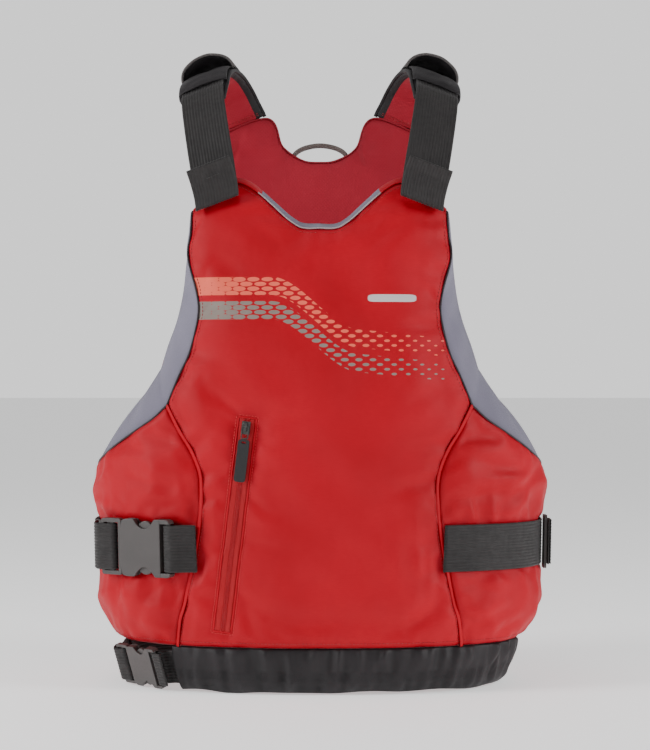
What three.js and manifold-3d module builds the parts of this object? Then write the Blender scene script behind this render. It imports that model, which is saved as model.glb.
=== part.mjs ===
// A foam-filled paddling life jacket, standing on its waistband.
// Millimetres: +X is the wearer's left, -Y the front, +Z up, z = 0 under the waistband.
import * as THREE from 'three';
import * as BufferGeometryUtils from 'three/addons/utils/BufferGeometryUtils.js';
import Module from 'manifold-3d';

const wasm = await Module();
wasm.setup();

// Driving dimensions of the body.
const BOX_CENTRE = 9.75;          // moves the vest back, so that its box is centred over the origin
const ROUNDNESS = 2.4;            // exponent of the superellipse that the body's plan follows
const HEM = 50;                   // height of the panels' lower edge
const FRONT_SIDE = radians(94.6);   // the front panels end just behind the side
const BACK_SIDE = radians(95.4);
const CLOTH = 1.4;                // shell fabric with its backing
const CLEARANCE = 0.4;            // between one layer and the next
const POCKET_DEPTH = 4;           // from the cover's face to the chest foam
const halfWidth = through([[0, 206], [60, 231], [104, 248], [157, 249], [230, 252], [300, 250],
  [450, 240], [650, 222]]);
const frontDepth = through([[0, 138], [60, 147], [157, 152], [250, 157], [340, 157], [430, 147],
  [500, 130], [560, 112]]);
const backDepth = through([[0, 118], [60, 128], [157, 132], [300, 142], [450, 142], [560, 132],
  [650, 116]]);
const frontThickness = through([[50, 34], [157, 36], [300, 42], [450, 40], [560, 22]]);
const backThickness = through([[50, 32], [157, 34], [300, 38], [500, 34], [600, 22], [650, 14]]);

// Half outlines of the panels, as [x, z] on the wearer's left.
const PRINCESS_SEAM = [[155, 50], [152, 78], [146, 99], [139, 132], [133.5, 161], [128.5, 199],
  [128.5, 234], [136.5, 259], [152, 285], [166, 312]];
const INNER_SEAM = [[150, 50], [140, 120], [130, 200], [135, 260], [156, 308], [176, 352]];
const ARMHOLE = [[166, 312], [152, 345], [140.5, 370], [131.5, 408], [133, 433], [143.5, 473],
  [141, 498], [140, 523]];
const INNER_ARMHOLE = [[176, 352], [168, 378], [158, 405], [151, 436], [147, 470], [142, 500],
  [138, 529]];
const NECK = [[0, 504], [17, 504], [32, 512], [88.7, 555], [140, 523]];
const INNER_NECK = [[0, 511], [17, 511], [32, 519], [88, 562], [138, 529]];
const UNDERARM = [[166, 312], [181, 298], [202, 284], [224, 269], [242, 255]];
const UNDERARM_SIDE = 240;        // height of the underarm edge at the side
const INNER_UNDERARM = [[176, 352], [188, 334], [199, 319]];
const INNER_UNDERARM_SIDE = 308;
const BACK_ARMHOLE = [[238, 254], [190, 292], [152, 330], [138, 380], [133, 440], [137, 500],
  [142, 560], [134, 624]];
const BACK_NECK = [[0, 598], [20, 600], [45, 616], [64.5, 650], [134, 624]];

// Driving dimensions of the straps, the buckles and the zip.
const WEBBING = 2.2;
const WAIST = { z: 157.5, width: 50.8, buckleX: 184 };
const LOWER = { z: 25.5, width: 38, buckleX: 187 };
const BUCKLE = { length: 65, height: 63, thickness: 11 };
const SHOULDER_WIDTH = 50;
const ZIP_TOP = [-77, 299];
const ZIP_BOTTOM = [-105, 68];
const ZIP_WIDTH = 19;
const COIL_HALF = 2.5;
const SLIDER_LIFT = 2.4;
const SLIDER_REST = 0.045;        // how far down the zip the slider rests, as a share
const PULL = { width: 12.3, length: 46, thickness: 2.4 };
const WINDOW_HALF = 26.6;         // half the width that a buckle leaves for webbing
const BAR_LEVELS = [3.8, 7.2];    // a buckle's crossbar, above its underside
const BELT_CLEARANCE = 1.4;       // lets a flat belt pass over the body's bulge
const TUNNEL_DEPTH = 7;
const SIDE_ADJUSTER = 84;         // degrees round from the front
const HAUL_Y = 114.5;
const HAUL_LOOP = [[-36.5, 613.9], [-35.2, 616.6], [-31, 618.6], [-20, 619.1], [0, 619.2]];

// One shoulder, on the wearer's left: [x, y, z] along the pad's top from the back seam.
const SHOULDER_LEAN = radians(21);
const PAD_LINE = [[102.5, 110, 646.5], [107, 106, 658], [113, 95, 673], [121, 68, 686],
  [128, 32, 690], [132, 2, 684.5], [132, -27, 669], [129, -42, 652]];
const padWidth = through([[0, 74], [0.3, 68], [0.5, 65], [0.85, 57], [1, 44]]);
const STRAP_LINE = [[132, -43, 662], [129.5, -62, 643], [122.5, -93, 602], [116.5, -106.5, 568],
  [112.5, -114.4, 543], [111.5, -116.6, 535.5]];
const FOLD_RADIUS = 3.2;
const STRAP_TAIL = [[112.8, -124.4, 545], [116.5, -128, 560], [121, -133, 574]];

const RED = 0xd4202b;
const DARK_RED = 0xb42f3c;
const BLACK = 0x2b2629;
const WEBBING_GREY = 0x423d3c;
const PLASTIC = 0x726a68;
const GUSSET_GREY = 0x8e8998;
const FOAM = 0xd9d6cf;

const part = new THREE.Group();
const vest = new THREE.Group();
vest.position.y = BOX_CENTRE;
part.add(vest);

function radians(degrees) {
  return THREE.MathUtils.degToRad(degrees);
}

// A smooth function of one number through [input, value] pairs.
function through(pairs) {
  const last = pairs.length - 1;
  const slope = (i) => {
    const before = pairs[Math.max(i - 1, 0)];
    const after = pairs[Math.min(i + 1, last)];
    return (after[1] - before[1]) / (after[0] - before[0]);
  };
  return (input) => {
    const x = THREE.MathUtils.clamp(input, pairs[0][0], pairs[last][0]);
    let i = 0;
    while (i < last - 1 && x > pairs[i + 1][0]) i += 1;
    const span = pairs[i + 1][0] - pairs[i][0];
    const t = (x - pairs[i][0]) / span;
    return (1 + 2 * t) * (1 - t) ** 2 * pairs[i][1] + t * (1 - t) ** 2 * span * slope(i)
      + t * t * (3 - 2 * t) * pairs[i + 1][1] + t * t * (t - 1) * span * slope(i + 1);
  };
}

// A point of the body's surface: the angle is 0 at the front and grows to the wearer's left.
function torso(angle, z, depth = 0) {
  const a = halfWidth(z);
  const b = Math.cos(angle) > 0 ? frontDepth(z) : backDepth(z);
  const sine = Math.abs(Math.sin(angle) / a) ** ROUNDNESS;
  const cosine = Math.abs(Math.cos(angle) / b) ** ROUNDNESS;
  const radius = (sine + cosine) ** (-1 / ROUNDNESS);
  const x = radius * Math.sin(angle);
  const y = -radius * Math.cos(angle);
  const normal = new THREE.Vector2(
    Math.sign(x) * Math.abs(x) ** (ROUNDNESS - 1) / a ** ROUNDNESS,
    Math.sign(y) * Math.abs(y) ** (ROUNDNESS - 1) / b ** ROUNDNESS,
  ).normalize();
  return new THREE.Vector3(x - depth * normal.x, y - depth * normal.y, z);
}

// The angle at which the surface, at this depth, stands x from the middle.
function angleAt(x, z, depth = 0, back = false) {
  let [low, high] = [0, Math.PI / 2];
  for (let i = 0; i < 30; i += 1) {
    const middle = (low + high) / 2;
    const reached = torso(back ? Math.PI - middle : middle, z, depth).x;
    if (reached < Math.abs(x)) low = middle;
    else high = middle;
  }
  return (x < 0 ? -1 : 1) * (back ? Math.PI - low : low);
}

function geometryFrom(points, index) {
  let volume = 0;
  for (let i = 0; i < index.length; i += 3) {
    const [a, b, c] = [points[index[i]], points[index[i + 1]], points[index[i + 2]]];
    volume += a.dot(b.clone().cross(c));
  }
  const geometry = new THREE.BufferGeometry().setFromPoints(points);
  geometry.setIndex(volume > 0 ? index : index.toReversed());
  return geometry;
}

// A closed solid between two surfaces, each a function of u and v from 0 to 1.
function slab(columns, rows, outer, inner) {
  const points = [];
  for (const surface of [outer, inner]) {
    for (let j = 0; j <= rows; j += 1) {
      for (let i = 0; i <= columns; i += 1) points.push(surface(i / columns, j / rows));
    }
  }
  const at = (layer, i, j) => (layer * (rows + 1) + j) * (columns + 1) + i;
  const index = [];
  const quad = (a, b, c, d) => index.push(a, b, c, a, c, d);
  for (let j = 0; j < rows; j += 1) {
    for (let i = 0; i < columns; i += 1) {
      quad(at(0, i, j), at(0, i + 1, j), at(0, i + 1, j + 1), at(0, i, j + 1));
      quad(at(1, i, j), at(1, i, j + 1), at(1, i + 1, j + 1), at(1, i + 1, j));
    }
    quad(at(0, 0, j + 1), at(1, 0, j + 1), at(1, 0, j), at(0, 0, j));
    quad(at(1, columns, j), at(1, columns, j + 1), at(0, columns, j + 1), at(0, columns, j));
  }
  for (let i = 0; i < columns; i += 1) {
    quad(at(0, i, 0), at(1, i, 0), at(1, i + 1, 0), at(0, i + 1, 0));
    quad(at(0, i, rows), at(0, i + 1, rows), at(1, i + 1, rows), at(1, i, rows));
  }
  return geometryFrom(points, index);
}

// A solid whose closed outline, [across, up] at each station, is joined from one to the next.
function sweep(stations, outlines) {
  const sides = outlines[0].length;
  const points = stations.flatMap(({ origin, across, up }, k) => outlines[k].map(
    ([s, t]) => origin.clone().addScaledVector(across, s).addScaledVector(up, t),
  ));
  const index = [];
  for (let k = 0; k < stations.length - 1; k += 1) {
    for (let i = 0; i < sides; i += 1) {
      const next = (i + 1) % sides;
      const [a, b, c, d] = [k * sides + i, k * sides + next, (k + 1) * sides + next,
        (k + 1) * sides + i];
      index.push(a, b, c, a, c, d);
    }
  }
  const flat = outlines[0].map(([s, t]) => new THREE.Vector2(s, t));
  const end = (stations.length - 1) * sides;
  const clockwise = THREE.ShapeUtils.isClockWise(flat);
  for (const corners of THREE.ShapeUtils.triangulateShape(flat, [])) {
    const [start, finish] = clockwise ? [corners, corners.toReversed()]
      : [corners.toReversed(), corners];
    index.push(...start, ...finish.map((i) => i + end));
  }
  return geometryFrom(points, index);
}

// Stations along points. The width is one direction, or a list with one for each point.
function stationsAlong(points, widths) {
  return points.map((origin, k) => {
    const before = points[Math.max(k - 1, 0)];
    const after = points[Math.min(k + 1, points.length - 1)];
    const across = (Array.isArray(widths) ? widths[k] : widths).clone().normalize();
    const up = after.clone().sub(before).cross(across).normalize();
    return { origin, across, up };
  });
}

function rectangle(width, low, high) {
  return [[-width / 2, low], [width / 2, low], [width / 2, high], [-width / 2, high]];
}

function ribbon(points, widths, size, thickness = WEBBING) {
  const outline = rectangle(size, -thickness / 2, thickness / 2);
  return sweep(stationsAlong(points, widths), points.map(() => outline));
}

function solidOf(geometry) {
  const bare = new THREE.BufferGeometry().setAttribute('position', geometry.attributes.position);
  bare.setIndex(geometry.index);
  const merged = BufferGeometryUtils.mergeVertices(bare, 1e-4);
  return new wasm.Manifold(new wasm.Mesh({
    numProp: 3,
    vertProperties: new Float32Array(merged.attributes.position.array),
    triVerts: new Uint32Array(merged.index.array),
  }));
}

function geometryOf(solid) {
  const mesh = solid.getMesh();
  const geometry = new THREE.BufferGeometry();
  geometry.setAttribute('position', new THREE.BufferAttribute(mesh.vertProperties, 3));
  geometry.setIndex(new THREE.BufferAttribute(mesh.triVerts, 1));
  return geometry;
}

function cut(geometry, ...tools) {
  return geometryOf(tools.reduce((left, tool) => left.subtract(solidOf(tool)), solidOf(geometry)));
}

function join(first, ...others) {
  return geometryOf(others.reduce((whole, other) => whole.add(solidOf(other)), solidOf(first)));
}

function block(x, y, z) {
  const box = new THREE.BoxGeometry(x[1] - x[0], y[1] - y[0], z[1] - z[0]);
  return box.translate((x[0] + x[1]) / 2, (y[0] + y[1]) / 2, (z[0] + z[1]) / 2);
}

function plate(shape, low, high, curveSegments = 6) {
  const settings = { depth: high - low, bevelEnabled: false, curveSegments };
  return new THREE.ExtrudeGeometry(shape, settings).translate(0, 0, low);
}

function add(name, geometry, color, { parent = vest, roughness = 0.8, metalness = 0 } = {}) {
  const material = new THREE.MeshStandardMaterial({ color, roughness, metalness });
  const mesh = new THREE.Mesh(geometry, material);
  mesh.name = name;
  parent.add(mesh);
  return mesh;
}

// One edge of a panel, as a function of t that gives [angle, z].
function edge(points, depthAt, { side = 1, back = false } = {}) {
  const curve = new THREE.SplineCurve(points.map((point) => new THREE.Vector2(...point)));
  return (t) => {
    const { x, y: z } = curve.getPointAt(t);
    return [side * angleAt(x, z, depthAt(z), back), z];
  };
}

function chain(first, second, share) {
  return (t) => (t < share ? first(t / share) : second((t - share) / (1 - share)));
}

// A panel laid between four edges. u runs along bottom and top, v along left and right.
function between(bottom, top, left, right) {
  const mix = (weights, spots) => [0, 1].map(
    (axis) => weights.reduce((sum, weight, i) => sum + weight * spots[i][axis], 0),
  );
  return (u, v) => mix(
    [1 - v, v, 1 - u, u, -(1 - u) * (1 - v), -u * (1 - v), -(1 - u) * v, -u * v],
    [bottom(u), top(u), left(v), right(v), left(0), right(0), left(1), right(1)],
  );
}

function mirrored(curve) {
  return (t) => {
    const [angle, z] = curve(Math.abs(2 * t - 1));
    return [Math.sign(2 * t - 1) * angle, z];
  };
}

function opposite(curve) {
  return (t) => {
    const [angle, z] = curve(t);
    return [-angle, z];
  };
}

function hemFrom(start, finish) {
  return (t) => [start + t * (finish - start), HEM];
}

const onFace = () => 0;
const CHEST_COLUMNS = 12;
const CHEST_ROWS = 14;
const SEAM_ROWS = 8;              // the chest rows that end at the princess seam
const WING_COLUMNS = 9;
const BACK_COLUMNS = 16;
const BACK_ROWS = 12;
const BACK_SIDE_ROWS = 4;         // the back's rows below its armhole

// The chest panel's plan, on the outer face or on the lining.
function chestPlan(seamPoints, armholePoints, neckPoints, depthAt) {
  const seam = edge(seamPoints, depthAt);
  const side = chain(seam, edge(armholePoints, depthAt), SEAM_ROWS / CHEST_ROWS);
  const [corner] = side(0);
  return between(hemFrom(-corner, corner), mirrored(edge(neckPoints, depthAt)),
    opposite(side), side);
}

function wingPlan(side, seamPoints, underarmPoints, sideHeight, depthAt) {
  const seam = edge(seamPoints, depthAt);
  const under = edge(underarmPoints, depthAt);
  const [last, lastZ] = under(1);
  const top = chain(under, (t) => [last + t * (FRONT_SIDE - last),
    lastZ + Math.sin(t * Math.PI / 2) * (sideHeight - lastZ)], 0.75);
  const plan = between(hemFrom(seam(0)[0], FRONT_SIDE), top, seam,
    (t) => [FRONT_SIDE, HEM + t * (sideHeight - HEM)]);
  const inset = radians(0.15);    // half the gap at the seam
  return (u, v) => {
    const [angle, z] = plan(u, v);
    return [side * (angle + inset * (1 - u)), z];
  };
}

function backPlan() {
  const armhole = edge(BACK_ARMHOLE, onFace, { back: true });
  const side = chain((t) => [BACK_SIDE, HEM + t * (UNDERARM_SIDE - HEM)], armhole, BACK_SIDE_ROWS / BACK_ROWS);
  const neck = edge(BACK_NECK, onFace, { back: true });
  const around = (curve) => (t) => {
    const [angle, z] = curve(Math.abs(1 - 2 * t));
    return [t < 0.5 ? angle : 2 * Math.PI - angle, z];
  };
  const right = (t) => [2 * Math.PI - side(t)[0], side(t)[1]];
  return between(hemFrom(BACK_SIDE, 2 * Math.PI - BACK_SIDE), around(neck), side, right);
}

const chestOuter = chestPlan(PRINCESS_SEAM, ARMHOLE, NECK, onFace);
const chestInner = chestPlan(INNER_SEAM, INNER_ARMHOLE, INNER_NECK, frontThickness);
const backOuter = backPlan();
const wingOuter = (side) => wingPlan(side, PRINCESS_SEAM, UNDERARM, UNDERARM_SIDE, onFace);
const wingInner = (side) => wingPlan(side, INNER_SEAM, INNER_UNDERARM, INNER_UNDERARM_SIDE,
  frontThickness);

// Cover, foam and lining of one panel, from the outer face inwards.
function panel(name, plan, liningPlan, thickness, [columns, rows], foamStart) {
  const layer = (map, depth) => (u, v) => {
    const [angle, z] = map(u, v);
    return torso(angle, z, depth(z));
  };
  const liningFace = (z) => thickness(z) - CLOTH;
  return {
    [`${name}_cover`]: slab(columns, rows, layer(plan, onFace), layer(plan, () => CLOTH)),
    [`${name}_foam`]: slab(columns, rows, layer(plan, () => foamStart),
      layer(liningPlan, (z) => liningFace(z) - CLEARANCE)),
    [`${name}_lining`]: slab(columns, rows, layer(liningPlan, liningFace),
      layer(liningPlan, thickness)),
  };
}

// A thin strip over a foam edge. Each rib runs from the outer face in to the lining.
function edgeStrip(ribs, away) {
  const tuck = 0.05;              // the strip starts this far in, behind the cover's edge
  const lifted = (lift) => (u, v) => {
    const { outer, inner, direction } = ribs[Math.round(u * (ribs.length - 1))];
    return outer.clone().lerp(inner, tuck + v * (1 - tuck)).addScaledVector(direction, lift);
  };
  ribs.forEach((rib, k) => {
    const before = ribs[Math.max(k - 1, 0)];
    const after = ribs[Math.min(k + 1, ribs.length - 1)];
    const along = after.outer.clone().add(after.inner).sub(before.outer).sub(before.inner);
    rib.direction = along.cross(rib.inner.clone().sub(rib.outer)).normalize();
    if (rib.direction.dot(away) < 0) rib.direction.negate();
  });
  return slab(ribs.length - 1, 1, lifted(CLEARANCE + 0.9), lifted(CLEARANCE));
}

// Ribs at the panel's own grid stations, so that the strip follows the foam's facets.
function ribsAt(stations, outerSpot, innerSpot, thickness, foamStart) {
  return stations.map((t) => {
    const [angle, z] = outerSpot(t);
    const [innerAngle, innerZ] = innerSpot(t);
    return {
      outer: torso(angle, z, foamStart),
      inner: torso(innerAngle, innerZ, thickness(innerZ) - CLOTH - CLEARANCE),
    };
  });
}

function stationsFrom(first, last, count) {
  return Array.from({ length: last - first + 1 }, (_, k) => (first + k) / count);
}

function zipSpot(along, across) {
  const x = ZIP_TOP[0] + along * (ZIP_BOTTOM[0] - ZIP_TOP[0]);
  const z = ZIP_TOP[1] + along * (ZIP_BOTTOM[1] - ZIP_TOP[1]);
  const length = Math.hypot(ZIP_BOTTOM[0] - ZIP_TOP[0], ZIP_BOTTOM[1] - ZIP_TOP[1]);
  const lean = (ZIP_TOP[0] - ZIP_BOTTOM[0]) / length;
  return [x + across * Math.sqrt(1 - lean * lean), z - across * lean];
}

function zipLayer(acrossFrom, acrossTo, outerDepth, innerDepth, [from, to] = [0, 1]) {
  const layer = (depth) => (u, v) => {
    const across = acrossFrom + u * (acrossTo - acrossFrom);
    const [x, z] = zipSpot(from + v * (to - from), across);
    return torso(angleAt(x, z), z, depth);
  };
  return slab(2, 8, layer(outerDepth), layer(innerDepth));
}

function addFront() {
  const chest = panel('front_center', chestOuter, chestInner, frontThickness,
    [CHEST_COLUMNS, CHEST_ROWS], POCKET_DEPTH);
  const slot = zipLayer(-ZIP_WIDTH / 2, ZIP_WIDTH / 2, -3, POCKET_DEPTH);
  add('front_center_cover', cut(chest.front_center_cover, slot), RED);
  add('front_center_foam', chest.front_center_foam, FOAM);
  add('front_center_lining', chest.front_center_lining, DARK_RED);
  for (const [word, side] of [['right', -1], ['left', 1]]) {
    const name = `front_${word}_wing`;
    const wing = panel(name, wingOuter(side), wingInner(side), frontThickness,
      [WING_COLUMNS, SEAM_ROWS], CLOTH + CLEARANCE);
    add(`${name}_cover`, wing[`${name}_cover`], RED);
    add(`${name}_foam`, wing[`${name}_foam`], FOAM);
    add(`${name}_lining`, wing[`${name}_lining`], DARK_RED);
    add(`${word}_armhole_gusset`, armholeGusset(side), GUSSET_GREY);
  }
  const ribs = ribsAt(stationsFrom(0, CHEST_COLUMNS, CHEST_COLUMNS), (t) => chestOuter(t, 1),
    (t) => chestInner(t, 1), frontThickness, POCKET_DEPTH);
  add('front_neck_gusset', edgeStrip(ribs, new THREE.Vector3(0, 0, 1)), GUSSET_GREY);
}

// One strip down the chest panel's armhole edge and on along the wing's top.
function armholeGusset(side) {
  const u = (side + 1) / 2;
  const chest = ribsAt(stationsFrom(SEAM_ROWS, CHEST_ROWS, CHEST_ROWS).toReversed(),
    (t) => chestOuter(u, t), (t) => chestInner(u, t), frontThickness, POCKET_DEPTH);
  const wing = ribsAt(stationsFrom(0, WING_COLUMNS, WING_COLUMNS), (t) => wingOuter(side)(t, 1),
    (t) => wingInner(side)(t, 1), frontThickness, CLOTH + CLEARANCE);
  return edgeStrip([...chest, ...wing], new THREE.Vector3(side, 0, 1));
}

function addBack() {
  const back = panel('back', backOuter, backOuter, backThickness, [BACK_COLUMNS, BACK_ROWS],
    CLOTH + CLEARANCE);
  add('back_cover', back.back_cover, RED);
  add('back_foam', back.back_foam, FOAM);
  add('back_lining', back.back_lining, DARK_RED);
  for (const [word, side] of [['right', -1], ['left', 1]]) {
    const spot = (t) => backOuter((1 - side) / 2, t);
    const ribs = ribsAt(stationsFrom(BACK_SIDE_ROWS, BACK_ROWS, BACK_ROWS).toReversed(),
      spot, spot, backThickness, CLOTH + CLEARANCE);
    add(`${word}_back_gusset`, edgeStrip(ribs, new THREE.Vector3(side, 0, 0.7)), GUSSET_GREY);
  }
  const spot = (t) => backOuter(t, 1);
  const ribs = ribsAt(stationsFrom(0, BACK_COLUMNS, BACK_COLUMNS), spot, spot, backThickness,
    CLOTH + CLEARANCE);
  add('back_neck_gusset', edgeStrip(ribs, new THREE.Vector3(0, 0, 1)), DARK_RED);
}

// The pocket's zip: two tapes and the coil lie in the chest cover's slot.
function addZip() {
  const edgeGap = ZIP_WIDTH / 2 - CLEARANCE;
  const length = [0.004, 0.996];
  add('zip_tape_right', zipLayer(-edgeGap, -COIL_HALF - CLEARANCE, 0.2, 1.6, length), RED);
  add('zip_tape_left', zipLayer(COIL_HALF + CLEARANCE, edgeGap, 0.2, 1.6, length), RED);
  add('zip_coil', zipLayer(-COIL_HALF, COIL_HALF, -0.6, 1.8, length), RED);
  const bag = (depth) => (u, v) => {
    const [x, z] = zipSpot(-0.03 + 1.02 * v, -12 + 100 * u);
    return torso(angleAt(x, z), z, depth);
  };
  add('pocket_bag', slab(6, 8, bag(CLOTH + 1.3), bag(POCKET_DEPTH - CLEARANCE)), DARK_RED);
  const slider = new THREE.Group();
  slider.applyMatrix4(zipFrame(SLIDER_REST));
  vest.add(slider);
  const metal = { parent: slider, roughness: 0.45, metalness: 0.6 };
  add('zip_slider', sliderBody(), BLACK, metal);
  add('zip_pull_link', pullLink(), BLACK, metal);
  add('zip_pull_tab', pullTab(), BLACK, { parent: slider, roughness: 0.6 });
}

// x across the zip, y up along it, z out of the cover; the origin is on the cover's face.
function zipFrame(along) {
  const spot = (t, across) => {
    const [x, z] = zipSpot(t, across);
    return torso(angleAt(x, z), z);
  };
  const up = spot(0, 0).sub(spot(1, 0)).normalize();
  const out = spot(along, 5).sub(spot(along, -5)).cross(up).normalize();
  const across = up.clone().cross(out);
  return new THREE.Matrix4().makeBasis(across, up, out).setPosition(spot(along, 0));
}

function sliderBody() {
  const body = block([-4.6, 4.6], [-7, 7], [SLIDER_LIFT, 5.2]);
  const posts = [[3.6, 5.4], [-3.4, -1.6]].map((y) => block([-1.4, 1.4], y, [5, 8.6]));
  return join(body, ...posts, block([-1.4, 1.4], [-3.4, 5.4], [7.4, 8.6]));
}

function roundedRectangle(x, y, radius) {
  const shape = new THREE.Shape();
  shape.absarc(x[1] - radius, y[1] - radius, radius, 0, Math.PI / 2);
  shape.absarc(x[0] + radius, y[1] - radius, radius, Math.PI / 2, Math.PI);
  shape.absarc(x[0] + radius, y[0] + radius, radius, Math.PI, 1.5 * Math.PI);
  shape.absarc(x[1] - radius, y[0] + radius, radius, 1.5 * Math.PI, 2 * Math.PI);
  return shape;
}

function pullLink() {
  const outer = roundedRectangle([-4.2, 4.2], [-12, 2.4], 2);
  outer.holes.push(roundedRectangle([-3, 3], [-10.8, 1.2], 1));
  return plate(outer, 5.6, 6.8, 2);
}

function pullTab() {
  const outer = roundedRectangle([-PULL.width / 2, PULL.width / 2], [-12.4 - PULL.length, -12.4], 3);
  outer.holes.push(roundedRectangle([-2.4, 2.4], [-16.8, -14.6], 1));
  return plate(outer, 4.9, 4.9 + PULL.thickness, 2);
}

// Pieces of one shoulder, drawn on the wearer's left; the right one is its mirror image.
function addShoulder(word, side) {
  const shoulder = new THREE.Group();
  shoulder.scale.x = side;
  vest.add(shoulder);
  const lean = new THREE.Vector3(Math.cos(SHOULDER_LEAN), 0, -Math.sin(SHOULDER_LEAN));
  const line = new THREE.CatmullRomCurve3(PAD_LINE.map((point) => new THREE.Vector3(...point)));
  const padStations = (from, to, count) => stationsAlong(
    Array.from({ length: count + 1 }, (_, k) => line.getPoint(from + (k / count) * (to - from))),
    lean,
  );
  const onPad = (low, high) => {
    const steps = 14;
    return sweep(padStations(0, 1, steps),
      Array.from({ length: steps + 1 }, (_, k) => rectangle(padWidth(k / steps), low, high)));
  };
  add(`${word}_shoulder_cover`, onPad(-1.2, 0), BLACK, { parent: shoulder });
  add(`${word}_shoulder_foam`, onPad(-8.6, -1.6), FOAM, { parent: shoulder });
  add(`${word}_shoulder_lining`, onPad(-10.2, -9), DARK_RED, { parent: shoulder });
  add(`${word}_shoulder_sleeve`, sweep(padStations(0.6, 0.86, 5),
    Array.from({ length: 6 }, () => arch(29, 5.4, 1.5, true))), BLACK, { parent: shoulder });
  add(`${word}_shoulder_hood`, sweep(padStations(0.3, 0.58, 5),
    Array.from({ length: 6 }, (_, k) => arch(32, 6.5 + 19 * (k / 5) ** 1.5, 2))), BLACK,
    { parent: shoulder });

  const overPad = padStations(0.36, 0.88, 6).map(
    ({ origin, up }) => origin.clone().addScaledVector(up, 0.5 + WEBBING / 2),
  );
  const hang = STRAP_LINE.map((point) => new THREE.Vector3(...point));
  const fold = turn(hang.at(-1), new THREE.Vector3(0, -FOLD_RADIUS, 0),
    new THREE.Vector3(0, 0, -FOLD_RADIUS), 5);
  const tail = STRAP_TAIL.map((point) => new THREE.Vector3(...point));
  add(`${word}_shoulder_strap`, ribbon([...overPad, ...hang, ...fold, ...tail], lean,
    SHOULDER_WIDTH), WEBBING_GREY, { parent: shoulder });
  const anchor = stationsAlong(hang, lean).slice(2).map(
    ({ origin, up }) => origin.clone().addScaledVector(up, -WEBBING - CLEARANCE),
  );
  add(`${word}_strap_anchor`, ribbon(anchor, lean, SHOULDER_WIDTH - 5), BLACK,
    { parent: shoulder });
}

// An open arch standing on a pad, as [across, up]: round, or square like a flat tunnel.
function arch(halfWidth, height, thickness, square = false) {
  const steps = square ? 3 : 8;
  const rim = (w, h) => Array.from({ length: steps + 1 }, (_, k) => {
    const angle = Math.PI * (k / steps);
    if (square) return [k < 2 ? -w : w, CLEARANCE + (k % 3 ? h : 0)];
    return [-w * Math.cos(angle), CLEARANCE + h * Math.sin(angle)];
  });
  return [...rim(halfWidth, height),
    ...rim(halfWidth - thickness, height - thickness).toReversed()];
}

// Points round a half turn that starts at a point and first moves along ahead.
function turn(start, towards, ahead, steps) {
  const centre = start.clone().add(towards);
  return Array.from({ length: steps }, (_, k) => {
    const angle = Math.PI * ((k + 1) / steps);
    return centre.clone().addScaledVector(towards, -Math.cos(angle))
      .addScaledVector(ahead, Math.sin(angle));
  });
}

function addHaulLoop() {
  const half = HAUL_LOOP.map(([x, z]) => new THREE.Vector3(x, HAUL_Y, z));
  const other = half.slice(0, -1).toReversed().map(({ x, y, z }) => new THREE.Vector3(-x, y, z));
  add('haul_loop', ribbon([...half, ...other], new THREE.Vector3(0, 1, 0), 18, 4.6), 0x8f8683);
}

// A frame on the wearer's right side: x towards the front, y up and z out of the body.
function buckleFrame({ buckleX, z }, lift) {
  const angle = -angleAt(buckleX, z);
  const up = torso(angle, z + 15).sub(torso(angle, z - 15)).normalize();
  const forward = torso(angle + 0.05, z).sub(torso(angle - 0.05, z)).normalize();
  const out = forward.clone().cross(up).normalize();
  return new THREE.Matrix4().makeBasis(forward, out.clone().cross(forward), out)
    .setPosition(torso(angle, z, -lift));
}

function femaleBuckle() {
  const half = BUCKLE.height / 2;
  const end = BUCKLE.length / 2;
  const outline = new THREE.Shape();
  outline.moveTo(-end, -half + 3);
  outline.quadraticCurveTo(-end, -half, -end + 3, -half);
  outline.lineTo(-15.5, -half);
  outline.quadraticCurveTo(-1, -10.3, 13.5, -half);
  outline.lineTo(end - 4, -half);
  outline.quadraticCurveTo(end, -half, end, -half + 4);
  outline.lineTo(end, half - 4);
  outline.quadraticCurveTo(end, half, end - 4, half);
  outline.lineTo(13.5, half);
  outline.quadraticCurveTo(-1, 10.3, -15.5, half);
  outline.lineTo(-end + 3, half);
  outline.quadraticCurveTo(-end, half, -end, half - 3);
  const body = cut(plate(outline, 0, BUCKLE.thickness),
    block([-end - 1, 17], [-24, 24], [2.2, BUCKLE.thickness - 2.2]),
    block([20.2, end + 1], [-WINDOW_HALF, WINDOW_HALF], [-1, BUCKLE.thickness + 1]));
  return join(body, crossbar(28));
}

function crossbar(x) {
  return block([x - 2, x + 2], [-WINDOW_HALF - 1, WINDOW_HALF + 1], BAR_LEVELS);
}

function maleBuckle() {
  const frame = plate(roundedRectangle([-59.5, -33.2], [-31, 31], 3), 1.5, 8.2, 3);
  const window = block([-56, -37], [-WINDOW_HALF, WINDOW_HALF], [0, 11]);
  return join(cut(frame, window), crossbar(-46), block([-34, 2], [-3, 3], [3.6, 7.4]));
}

// One springy prong with its thumb button; half is 1 for the upper and -1 for the lower one.
function prong(half) {
  const outline = [[-32.8, 13], [-16, 16.5], [-13, 23.4], [3, 23.4], [11, 17], [11, 13],
    [-10, 11], [-32.8, 9]];
  const shape = new THREE.Shape(outline.map(([x, y]) => new THREE.Vector2(x, half * y)));
  return plate(shape, 2.8, 8.2);
}

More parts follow.
